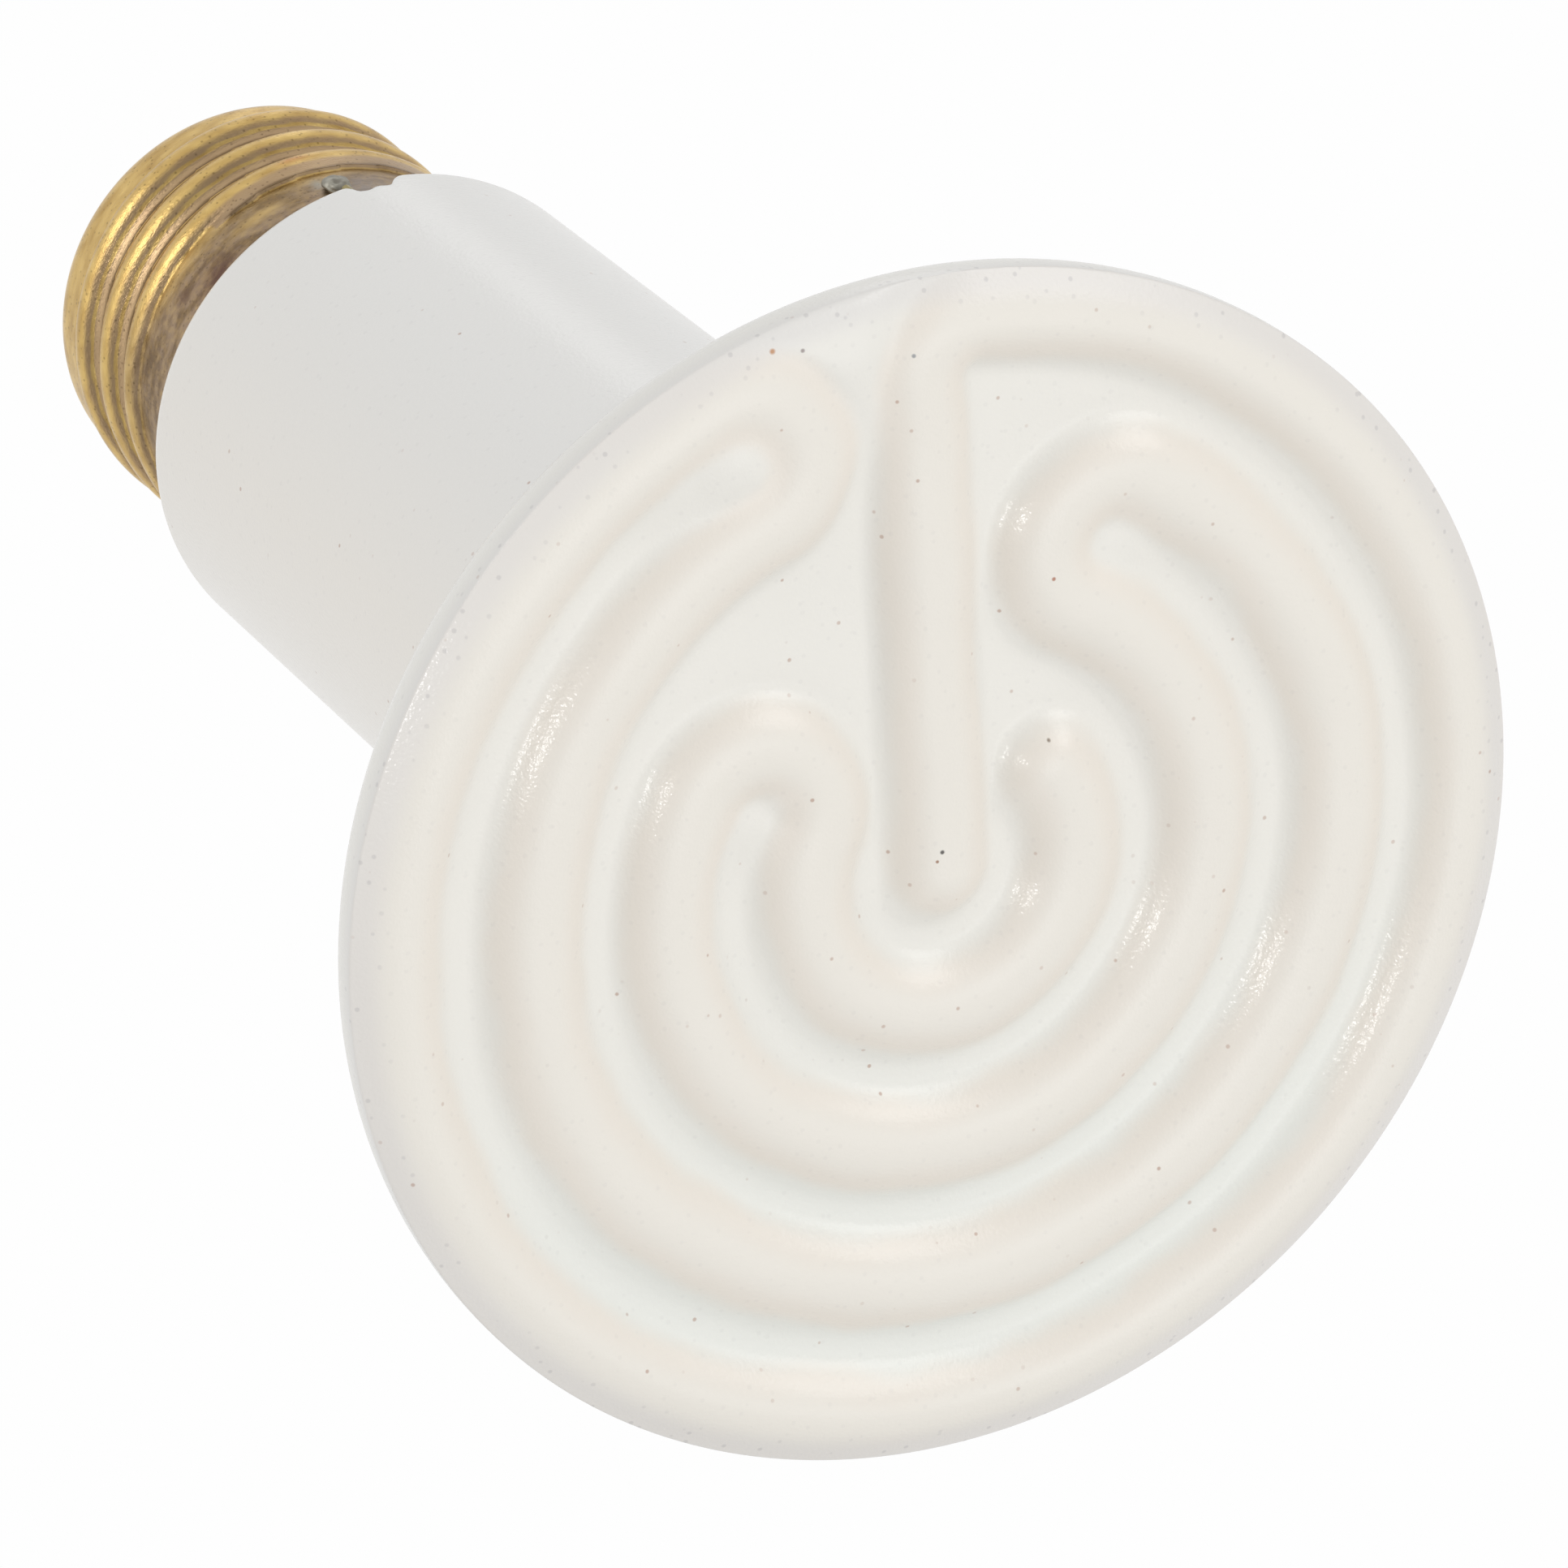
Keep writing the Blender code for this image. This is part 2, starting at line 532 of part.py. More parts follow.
def make_centre_solder(surface):
    # Bead over the lead's end, pressed flat on top where the socket's spring bears
    profile = [(0.0, SOLDER_Z), (SOLDER_BEAD_RADIUS, SOLDER_Z)]
    spread = SOLDER_BEAD_RADIUS - SOLDER_BEAD_FLAT
    for a in np.radians((30, 60, 90)):
        radius = SOLDER_BEAD_FLAT + spread * math.cos(a)
        profile.append((radius, SOLDER_Z + SOLDER_BEAD_HEIGHT * math.sin(a)))
    profile.append((0.0, SOLDER_Z + SOLDER_BEAD_HEIGHT))
    return revolve("centre_solder", profile, surface)


def make_heating_coil(surface):
    return sweep("heating_coil", coil_path(), COIL_RADIUS, COIL_SIDES, surface)


def bend_points(corner, before, after, radius):
    # Rounds the corner between two straight runs with points on a smooth curve
    start = corner + (before - corner).normalized() * radius
    end = corner + (after - corner).normalized() * radius
    shares = (0.0, 0.25, 0.5, 0.75, 1.0)
    return [(1 - t) ** 2 * start + 2 * t * (1 - t) * corner + t * t * end for t in shares]


def make_centre_lead(surface):
    # From the coil's first tail up the bore, over to the axis, and up the eyelet
    start = Vector((0.0, -TAIL_OFFSET, TAIL_TOP_Z + FIT_GAP))
    low = Vector((0.0, -TAIL_OFFSET, SPIGOT_TOP_Z + LEAD_BEND / 2))
    high = Vector((0.0, 0.0, INSULATOR_BASE_Z - EYELET_FLARE - LEAD_BEND))
    end = Vector((0.0, 0.0, SOLDER_Z - FIT_GAP))
    path = [start] + bend_points(low, start, high, LEAD_BEND) + bend_points(high, low, end, LEAD_BEND) + [end]
    return sweep("centre_lead", path, LEAD_RADIUS, 8, surface)


def on_collar(azimuth, radius, z):
    a = math.radians(azimuth)
    return Vector((radius * math.cos(a), radius * math.sin(a), z))


def side_lead_run():
    # Ends of the side lead's level run, from the second tail out under the shell's rim
    return Vector((0.0, TAIL_OFFSET, LEAD_EXIT_Z)), on_collar(SIDE_LEAD_AZIMUTH, LEAD_OUTSIDE, LEAD_EXIT_Z)


def make_side_lead(surface):
    # From the coil's second tail up the bore, out by the notch, up and along the collar to its solder
    start = Vector((0.0, TAIL_OFFSET, TAIL_TOP_Z + FIT_GAP))
    low, out = side_lead_run()
    rise_z = NECK_END_Z + SIDE_LEAD_RISE
    top_z = NECK_END_Z + SIDE_SOLDER_HEIGHT - SIDE_SOLDER_SIZE[2] - FIT_GAP
    rise = on_collar(SIDE_LEAD_AZIMUTH, LEAD_OUTSIDE, rise_z)
    under = on_collar(SIDE_SOLDER_AZIMUTH, LEAD_OUTSIDE, rise_z)
    end = on_collar(SIDE_SOLDER_AZIMUTH, LEAD_OUTSIDE, top_z)
    path = [start] + bend_points(low, start, out, LEAD_BEND)
    path += bend_points(out, low, rise, SIDE_LEAD_BEND)
    path += bend_points(rise, out, under, SIDE_LEAD_BEND) + bend_points(under, rise, end, SIDE_LEAD_BEND) + [end]
    return sweep("side_lead", path, LEAD_RADIUS, 8, surface)


def make_sleeve(name, side, surface):
    inner = LEAD_RADIUS + FIT_GAP
    outer = inner + SLEEVE_WALL
    low = TAIL_TOP_Z + SLEEVE_SPARE
    high = LEAD_EXIT_Z - LEAD_BEND - SLEEVE_SPARE
    obj = revolve(name, [(inner, low), (outer, low), (outer, high), (inner, high)], surface, 12)
    obj.location.y = side * TAIL_OFFSET
    return obj


def make_side_solder(surface):
    # Lump that joins the side lead to the collar
    mesh_data = bmesh.new()
    bmesh.ops.create_uvsphere(mesh_data, u_segments=14, v_segments=8, radius=1.0)
    for vert in mesh_data.verts:
        vert.co = Vector(size * co for size, co in zip(SIDE_SOLDER_SIZE, vert.co))
    obj = finish("side_solder", mesh_data, surface)
    out = COLLAR_RADIUS + FIT_GAP + SIDE_SOLDER_SIZE[1]
    obj.location = on_collar(SIDE_SOLDER_AZIMUTH, out, NECK_END_Z + SIDE_SOLDER_HEIGHT)
    obj.rotation_euler.z = math.radians(SIDE_SOLDER_AZIMUTH - 90)
    return obj


def main():
    clear_scene()
    make_ceramic_body(material("satin_glazed_ceramic", (0.775, 0.760, 0.716), 0.36))
    make_screw_shell(material("heat_tinted_brass", (0.56, 0.40, 0.15), 0.36, 1.0))
    make_base_cement(material("basing_cement", (0.62, 0.58, 0.50), 0.9))
    make_tip_insulator(material("black_glass", (0.012, 0.011, 0.014), 0.15))
    make_centre_contact(material("contact_brass", (0.62, 0.46, 0.20), 0.3, 1.0))
    solder = material("dull_solder", (0.42, 0.42, 0.41), 0.45, 1.0)
    make_centre_solder(solder)
    make_side_solder(solder)
    make_heating_coil(material("resistance_alloy", (0.25, 0.23, 0.22), 0.5, 1.0))
    lead = material("nickel_lead", (0.50, 0.48, 0.45), 0.35, 1.0)
    make_centre_lead(lead)
    make_side_lead(lead)
    sleeve = material("glass_fibre_sleeve", (0.70, 0.66, 0.56), 0.85)
    make_sleeve("centre_lead_sleeve", -1, sleeve)
    make_sleeve("side_lead_sleeve", 1, sleeve)


main()
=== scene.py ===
import math

import bmesh
import bpy
import numpy as np
from mathutils import Matrix, Vector


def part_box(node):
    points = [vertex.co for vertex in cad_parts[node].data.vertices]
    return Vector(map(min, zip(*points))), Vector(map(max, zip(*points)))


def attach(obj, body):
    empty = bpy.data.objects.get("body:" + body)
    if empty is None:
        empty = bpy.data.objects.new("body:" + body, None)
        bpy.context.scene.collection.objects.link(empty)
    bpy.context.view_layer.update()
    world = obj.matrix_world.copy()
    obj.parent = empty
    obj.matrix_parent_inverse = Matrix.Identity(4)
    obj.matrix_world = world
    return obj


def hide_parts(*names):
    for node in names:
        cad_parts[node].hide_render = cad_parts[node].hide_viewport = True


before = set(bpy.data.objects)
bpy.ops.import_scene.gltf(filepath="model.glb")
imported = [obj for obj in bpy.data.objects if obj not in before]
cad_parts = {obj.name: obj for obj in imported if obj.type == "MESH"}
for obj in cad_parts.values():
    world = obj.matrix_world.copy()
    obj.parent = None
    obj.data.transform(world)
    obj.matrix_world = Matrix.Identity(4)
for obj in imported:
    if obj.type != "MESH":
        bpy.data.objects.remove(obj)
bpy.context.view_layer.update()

# Looks of a screw-base ceramic heat emitter. Shapes are worked out in millimetres in the frame of
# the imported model: the ridged face lies on z = 0 and the screw base points up.

mm = 0.001


def boxInMm(node):
    low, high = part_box(node)
    return Vector(low) / mm, Vector(high) / mm


def linearColor(hexText):
    # sRGB hex to the linear values that a shader takes
    values = [int(hexText[i:i + 2], 16) / 255 for i in (0, 2, 4)]
    return [v / 12.92 if v <= 0.04045 else ((v + 0.055) / 1.055) ** 2.4 for v in values] + [1.0]


def addNode(tree, kind, inputs=None, stops=None, **settings):
    # Adds a node, sets its options, and gives each input a value or a link from another node
    node = tree.nodes.new("ShaderNode" + kind)
    for name, value in settings.items():
        setattr(node, name, value)
    if stops:
        elements = node.color_ramp.elements
        while len(elements) < len(stops):
            elements.new(1.0)
        for element, (place, color) in zip(elements, stops):
            element.position = place
            element.color = color
    for name, value in (inputs or {}).items():
        if isinstance(value, bpy.types.NodeSocket):
            tree.links.new(value, node.inputs[name])
        else:
            node.inputs[name].default_value = value
    return node


def newMaterial(name):
    material = bpy.data.materials.new(name)
    material.use_nodes = True
    return material, material.node_tree, material.node_tree.nodes["Principled BSDF"]


def smoothStep(value):
    value = np.clip(value, 0.0, 1.0)
    return value * value * (3 - 2 * value)


def hump(value, middle, width):
    # 1 at the middle, falling away to 0 on both sides
    return np.exp(-(((value - middle) / width) ** 2))


def gridPiece(name, rows, startPole=None, endPole=None, attributes=None, sharpAngle=40.0):
    # Closed tube of rows of points, with a single point at an end that has a pole
    rowCount, columnCount = rows.shape[:2]
    points = rows.reshape(-1, 3)
    extra = [p for p in (startPole, endPole) if p is not None]
    if extra:
        points = np.vstack([points, np.array(extra)])
    here = np.arange(rowCount * columnCount).reshape(rowCount, columnCount)
    right = np.roll(here, -1, axis=1)
    quads = np.stack([here[:-1], right[:-1], right[1:], here[1:]], axis=-1).reshape(-1, 4).tolist()
    if startPole is None and endPole is None:
        quads += np.stack([here[-1], right[-1], right[0], here[0]], axis=-1).tolist()
    nextPoint = rowCount * columnCount
    if startPole is not None:
        quads += [(right[0][i], here[0][i], nextPoint) for i in range(columnCount)]
        nextPoint += 1
    if endPole is not None:
        quads += [(here[-1][i], right[-1][i], nextPoint) for i in range(columnCount)]
    mesh = bpy.data.meshes.new(name)
    mesh.from_pydata((points * mm).tolist(), [], quads)
    for key, values in (attributes or {}).items():
        padded = np.concatenate([values.reshape(-1), np.zeros(len(extra))])
        mesh.attributes.new(key, "FLOAT", "POINT").data.foreach_set("value", padded.astype(np.float32))
    tidy = bmesh.new()
    tidy.from_mesh(mesh)
    bmesh.ops.recalc_face_normals(tidy, faces=tidy.faces)
    tidy.to_mesh(mesh)
    tidy.free()
    mesh.shade_smooth()
    mesh.set_sharp_from_angle(angle=math.radians(sharpAngle))
    piece = bpy.data.objects.new(name, mesh)
    bpy.context.scene.collection.objects.link(piece)
    return piece


def turnedRows(profile, azimuths):
    # One row of points round the axis for each (radius, height) of a turned profile
    across, along, level = np.cos(azimuths), np.sin(azimuths), np.ones(azimuths.shape)
    return np.array([np.stack([r * across, r * along, z * level], axis=-1) for r, z in profile])


def rounded(corners, size):
    # A closed profile with each corner eased over at most the given length
    eased = []
    for i, corner in enumerate(corners):
        here = Vector(corner)
        before, after = Vector(corners[i - 1]), Vector(corners[(i + 1) % len(corners)])
        start = here + (before - here).normalized() * min(size, (before - here).length * 0.45)
        end = here + (after - here).normalized() * min(size, (after - here).length * 0.45)
        for t in (0.0, 0.25, 0.5, 0.75, 1.0):
            eased.append(tuple((1 - t) ** 2 * start + 2 * t * (1 - t) * here + t * t * end))
    return eased


def dress(piece, material, slot, *replaced):
    # Gives a new piece its material and puts it on the model in place of its CAD nodes
    piece.data.materials.append(material)
    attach(piece, "root")
    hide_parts(*replaced)


# Camera at the photo's viewpoint, below the ridged face
cameraView = {
    "aim": (1.34, -1.21, 18.92),  # mm, near the middle of the disc
    "azimuth": 47.81,  # degrees, as are the next two
    "elevation": -55.86,
    "roll": -49.98,
    "distance": 1393.7,  # mm
    "lens": 541.1,  # mm
}


def makeCamera():
    azimuth, elevation = math.radians(cameraView["azimuth"]), math.radians(cameraView["elevation"])
    flat = math.cos(elevation)
    away = Vector((flat * math.cos(azimuth), flat * math.sin(azimuth), math.sin(elevation)))
    data = bpy.data.cameras.new("photoCamera")
    data.sensor_width = 36
    data.lens = cameraView["lens"]
    data.clip_end = 20
    camera = bpy.data.objects.new("photoCamera", data)
    bpy.context.scene.collection.objects.link(camera)
    look = (-away).to_track_quat("-Z", "Y").to_matrix().to_4x4()
    roll = Matrix.Rotation(math.radians(cameraView["roll"]), 4, "Z")
    place = (Vector(cameraView["aim"]) + away * cameraView["distance"]) * mm
    camera.matrix_world = Matrix.Translation(place) @ look @ roll
    bpy.context.scene.camera = camera
    return camera


camera = makeCamera()
print("camera is in place")

# Studio: pale floor, even sky and large soft lamps
studio = {
    "floorSize": 4000,  # mm
    "floorColor": "F2F2F0",
    "floorRoughness": 0.9,
    "backdrop": "FEFEFE",
    "skyLevel": 0.52,
    # Lamps: direction as picture right, up and towards the camera, distance and size in mm, power in W
    "lamps": {
        "rightBox": ((0.75, 0.38, 0.50), 1100, 600, 4.0),
        "lowerRightBox": ((0.6, -0.4, 0.7), 1100, 600, 2.0),
        "leftBox": ((-1.0, 0.05, 0.25), 1100, 600, 0.6),
        "upperLeftBox": ((-0.8, 0.45, 0.39), 1100, 600, 2.5),
        "lowerBox": ((0.0, -1.0, 0.2), 1100, 600, 1.5),
        "spark": ((-0.25, -0.28, 0.92), 1300, 40, 2.0),
        "topStrip": ((-0.03, 0.75, -0.66), 1100, 220, 0.12),
    },
}


def areaLamp(name, direction, distance, size, power):
    data = bpy.data.lights.new(name, "AREA")
    data.shape = "DISK"
    data.size = size * mm
    data.energy = power
    lamp = bpy.data.objects.new(name, data)
    bpy.context.scene.collection.objects.link(lamp)
    lamp.location = direction.normalized() * distance * mm
    lamp.rotation_euler = direction.to_track_quat("Z", "Y").to_euler()


def makeWorld():
    world = bpy.data.worlds.new("paleStudio")
    bpy.context.scene.world = world
    world.use_nodes = True
    tree = world.node_tree
    tree.nodes.clear()
    light = addNode(tree, "Background", {"Color": (1, 1, 1, 1), "Strength": studio["skyLevel"]})
    white = addNode(tree, "Background", {"Color": linearColor(studio["backdrop"]), "Strength": 1.0})
    path = addNode(tree, "LightPath").outputs
    seen = addNode(tree, "Math", {0: path["Is Camera Ray"], 1: path["Is Glossy Ray"]}, operation="MAXIMUM")
    seen = addNode(tree, "Math", {0: seen.outputs[0], 1: path["Is Transmission Ray"]}, operation="MAXIMUM")
    both = addNode(tree, "MixShader", {0: seen.outputs[0], 1: light.outputs[0], 2: white.outputs[0]})
    addNode(tree, "OutputWorld", {"Surface": both.outputs[0]})


def makeFloor():
    mesh = bpy.data.meshes.new("floor")
    half = studio["floorSize"] * mm / 2
    corners = [(-half, -half, 0), (half, -half, 0), (half, half, 0), (-half, half, 0)]
    mesh.from_pydata(corners, [], [(0, 1, 2, 3)])
    floor = bpy.data.objects.new("floor", mesh)
    bpy.context.scene.collection.objects.link(floor)
    # Matt white paper: an even pale ground that shows only the object's soft shadow. The photo looks up
    # from below the floor, so the paper is clear from beneath and stops no light
    material, tree, shader = newMaterial("matt_white_paper")
    shader.inputs["Base Color"].default_value = linearColor(studio["floorColor"])
    shader.inputs["Roughness"].default_value = studio["floorRoughness"]
    beneath = addNode(tree, "NewGeometry").outputs["Backfacing"]
    clear = addNode(tree, "BsdfTransparent").outputs[0]
    mix = addNode(tree, "MixShader", {0: beneath, 1: shader.outputs[0], 2: clear})
    tree.links.new(mix.outputs[0], tree.nodes["Material Output"].inputs["Surface"])
    mesh.materials.append(material)
    floor.visible_shadow = False
    floor.visible_diffuse = False


def makeStudio():
    makeWorld()
    makeFloor()
    sides = camera.matrix_world.to_3x3()
    for name, (direction, distance, size, power) in studio["lamps"].items():
        areaLamp(name, sides @ Vector(direction), distance, size, power)


bpy.context.scene.view_settings.view_transform = "Standard"
makeStudio()
print("studio is lit")

# Ceramic body: one casting with the serpentine ridge, rim, flare, neck and lead notch
bodyLow, bodyHigh = boxInMm("ceramic_body")
shellLow, shellHigh = boxInMm("screw_shell")

# Lengths are in mm and azimuths in degrees
ceramic = {
    "discRadius": bodyHigh.x,
    "innerRing": 8.75,  # radius of the inner ring's centre line
    "rimInset": 2.6,  # from the edge in to the outer ring's centre line
    "ridgeHeight": 1.8,
    "crestPower": 2.3,  # how square the crest's round is
    "kneeShare": 0.72,
    "footHalf": 4.1,
    "cornerRadius": 4.0,
    "turnAzimuths": (67.5, 123.5, 26.0),
    "endAzimuth": 147.0,
    "patternShift": (-0.4, 0.0),  # the inner rings sit off the disc's centre
    "shiftFade": (27.0, 34.0),  # radii between which that shift fades out
    "wander": (0.10, 0.05),  # long and short waves in the ridge's line
    "pocketSoft": ((0.75, 5.5), (0.4, 3.0), (0.35, 2.8)),  # share and reach of the fill in each turn
    "lipAzimuths": (62.0, 70.0, 84.0, 94.0),  # where the open valley rises to the rim
    "lipWidth": 9.0,
    "lipShare": 0.85,
    "ripple": 0.02,
    "rimFaceRound": 3.7,
    "rimCurve": (1.5, 1.8),  # powers of the fall from the face to the edge, and of its corner
    "rimFaceDrop": 1.4,
    "rimSide": 0.3,
    "rimBackWidth": 2.0,
    "rimBackHeight": 3.6,
    "flareHeight": 30.7,
    "neckRadius": 15.65,
    "neckDraft": 0.8,
    "neckEndZ": 79.4,
    "neckEdgeRound": 2.1,
    "seatDepth": 0.7,
    "seatRadius": 12.85,
    "seatBevel": 0.1,
    "underCollar": 12.0,  # how far in the notch runs below the collar
    "spigotRadius": 10.85,
    "spigotBevel": 0.3,
    "boreRadius": 5.0,
    "boreFloor": 9.0,
    "boreFloorBevel": 1.0,
    "notchAzimuths": (82.0, 83.8, 91.2, 96.6),  # mouth, foot, foot, mouth
    "notchFloorZ": 76.7,
    "notchCurve": 1.4,
    "notchRipple": 0.12,
    "notchSoft": 0.3,
    "glazeRun": (2.2, 1.6, 1.5),  # bared edge on the face, its fade, and its fade over the back
    "rowStep": 0.3,
    "fineColumns": 290,  # between the fine azimuths, where the ridge turns back
    "plainColumns": 150,
    "fineFrom": 10.0,
    "fineTo": 160.0,
}


def ridgeArcs():
    # The curved stretches of the ridge's centre line: centre, radius, first and last azimuth
    outer = ceramic["discRadius"] - ceramic["rimInset"]
    rings = np.linspace(outer, ceramic["innerRing"], 4)
    half = (rings[0] - rings[1]) / 2
    bend = ceramic["cornerRadius"]
    cornerY = math.sqrt((outer - bend) ** 2 - bend**2)
    cornerEnd = math.degrees(math.atan2(cornerY, -bend))
    first, second, third = ceramic["turnAzimuths"]
    arcs = [((-bend, cornerY), bend, 0.0, cornerEnd), ((0.0, 0.0), rings[0], cornerEnd, first + 360)]
    for ring, azimuth, way in ((0, first + 360, 180), (1, second, -180), (2, third + 360, 180)):
        radius = rings[ring] - half
        centre = (radius * math.cos(math.radians(azimuth)), radius * math.sin(math.radians(azimuth)))
        arcs.append((centre, half, azimuth, azimuth + way))
    arcs.append(((0.0, 0.0), rings[1], first + 360, second))
    arcs.append(((0.0, 0.0), rings[2], second, third + 360))
    arcs.append(((0.0, 0.0), rings[3], third + 360, ceramic["endAzimuth"]))
    return arcs


def patternPlace(x, y):
    # Where a point of the face falls on the true pattern: the ridge wanders a little, as a casting does
    start, end = ceramic["shiftFade"]
    inner = 1 - smoothStep((np.hypot(x, y) - start) / (end - start))
    shiftX, shiftY = ceramic["patternShift"]
    slow, quick = ceramic["wander"]
    wanderX = slow * np.sin(y / 5.1 + 1.0) + quick * np.sin(y / 2.3 + x / 3.7)
    wanderY = slow * np.sin(x / 4.7 + 2.0) + quick * np.sin(x / 2.9 - y / 3.3)
    return x - shiftX * inner + wanderX, y - shiftY * inner + wanderY


def ridgeDistance(x, y):
    # How far each point of the face is from the ridge's centre line
    x, y = patternPlace(x, y)
    arcs = ridgeArcs()
    nearest = np.hypot(x, y - np.clip(y, 0.0, arcs[0][0][1]))
    for centre, radius, start, end in arcs:
        dx, dy = x - centre[0], y - centre[1]
        low, high = min(start, end), max(start, end)
        angle = (np.degrees(np.arctan2(dy, dx)) - low) % 360
        onArc = np.abs(np.hypot(dx, dy) - radius)
        ends = []
        for a in np.radians([low, high]):
            ends.append(np.hypot(dx - radius * math.cos(a), dy - radius * math.sin(a)))
        nearest = np.minimum(nearest, np.where(angle <= high - low, onArc, np.minimum(*ends)))
    return nearest


def ridgeFall(distance):
    # 0 on the crest and 1 on the floor: a broad round crest, steepest at the knee, and the foot's fillet
    t = np.clip(distance / ceramic["footHalf"], 0.0, 1.0)
    knee, power = ceramic["kneeShare"], ceramic["crestPower"]
    crest = 1 / (knee**power + power * (1 - knee) * knee ** (power - 1) / 2)
    foot = crest * power * knee ** (power - 1) / (2 * (1 - knee))
    return np.where(t < knee, crest * t**power, 1 - foot * (1 - t) ** 2)


def faceHeight(x, y):
    # Height above the crest plane, with shallow pockets in the turns and a lip where the valley is open
    radius = np.hypot(x, y)
    fall = ridgeFall(ridgeDistance(x, y))
    edge = ceramic["discRadius"] - ceramic["rimFaceRound"]
    depth = ceramic["ridgeHeight"] * fall
    for (centre, _, _, _), (share, reach) in zip(ridgeArcs()[2:5], ceramic["pocketSoft"]):
        away = np.hypot(x - centre[0] - ceramic["patternShift"][0], y - centre[1])
        depth = depth * (1 - share * hump(away, 0.0, reach) * fall)
    azimuth = np.degrees(np.arctan2(y, x)) % 360
    first, full, last, end = ceramic["lipAzimuths"]
    window = smoothStep((azimuth - first) / (full - first)) * smoothStep((end - azimuth) / (end - last))
    width = ceramic["lipWidth"]
    lip = ceramic["lipShare"] * window * smoothStep((radius - edge + width) / width)
    depth = depth * (1 - lip * fall)
    depth = depth + ceramic["ripple"] * (2 + np.sin(x / 2.1 + y / 3.3) + np.sin(y / 1.9 - x / 4.1))
    fallPower, cornerPower = ceramic["rimCurve"]
    outward = np.clip((radius - edge) / ceramic["rimFaceRound"], 0.0, 1.0)
    rim = 1 - (1 - outward**fallPower) ** (1 / cornerPower)
    return depth + (ceramic["rimFaceDrop"] - depth) * rim


def columnAzimuths():
    start, end = ceramic["fineFrom"], ceramic["fineTo"]
    fine = np.linspace(start, end, ceramic["fineColumns"], endpoint=False)
    plain = np.linspace(end, start + 360, ceramic["plainColumns"], endpoint=False)
    return np.radians(np.concatenate([fine, plain]))


def backProfile():
    # Radius and height from the rim's edge over the back, up the neck and down the bore
    c = ceramic
    backZ = c["rimFaceDrop"] + c["rimSide"]
    flareRadius = c["discRadius"] - c["rimBackWidth"]
    points = [(c["discRadius"], backZ)]
    for a in np.radians(np.linspace(0, 90, 11)[1:]):
        radius = flareRadius + c["rimBackWidth"] * math.cos(a)
        points.append((radius, backZ + c["rimBackHeight"] * math.sin(a)))
    flareStart = backZ + c["rimBackHeight"]
    flareEnd = flareStart + c["flareHeight"]
    footRadius = c["neckRadius"] + c["neckDraft"]
    for a in np.radians(np.linspace(0, 90, 25)[1:]):
        radius = flareRadius - (flareRadius - footRadius) * math.sin(a)
        points.append((radius, flareEnd - c["flareHeight"] * math.cos(a)))
    edgeZ = c["neckEndZ"] - c["neckEdgeRound"]
    for share in (0.15, 0.3, 0.45, 0.6, 0.75, 0.88, 0.95, 0.97, 0.985, 1.0):
        z = flareEnd + (edgeZ - flareEnd) * share
        points.append((footRadius - c["neckDraft"] * (z - flareEnd) / (c["neckEndZ"] - flareEnd), z))
    edgeRadius = points[-1][0]
    for a in np.radians(np.linspace(0, 90, 13)[1:]):
        radius = edgeRadius - c["neckEdgeRound"] * (1 - math.cos(a))
        points.append((radius, edgeZ + c["neckEdgeRound"] * math.sin(a)))
    points.append((c["seatRadius"] + c["seatBevel"], c["neckEndZ"]))
    points.append((c["seatRadius"], c["neckEndZ"] - c["seatBevel"]))
    seatZ = c["neckEndZ"] - c["seatDepth"]
    points += [(c["seatRadius"], seatZ), (c["underCollar"], seatZ), (c["spigotRadius"], seatZ)]
    bevel, floorBevel = c["spigotBevel"], c["boreFloorBevel"]
    points += [(c["spigotRadius"], bodyHigh.z - bevel), (c["spigotRadius"] - bevel, bodyHigh.z)]
    bore, boreFloor = c["boreRadius"], c["boreFloor"]
    points += [(bore + bevel, bodyHigh.z), (bore, bodyHigh.z - bevel)]
    points += [(bore, boreFloor + floorBevel), (bore - floorBevel, boreFloor)]
    return points


def cutNotch(rows, azimuths):
    # Lowers the neck's end to the notch's outline wherever it stands above it, with softened lips
    mouthStart, footStart, footEnd, mouthEnd = ceramic["notchAzimuths"]
    degrees = np.degrees(azimuths)
    outside = np.maximum(footStart - degrees, 0) / (footStart - mouthStart)
    outside = outside + np.maximum(degrees - footEnd, 0) / (mouthEnd - footEnd)
    depth = ceramic["neckEndZ"] - ceramic["notchFloorZ"]
    floor = ceramic["notchFloorZ"] + depth * outside ** ceramic["notchCurve"]
    floor = floor + ceramic["notchRipple"] * np.sin(degrees * 1.3)
    radius = np.hypot(rows[..., 0], rows[..., 1])
    above = radius > ceramic["underCollar"] - 0.01
    over = (rows[..., 2] - floor) / ceramic["notchSoft"]
    lowered = rows[..., 2] - ceramic["notchSoft"] * np.logaddexp(0.0, np.clip(over, -30, 30))
    rows[..., 2] = np.where(above & (outside < 3.0), lowered, rows[..., 2])
    return rows


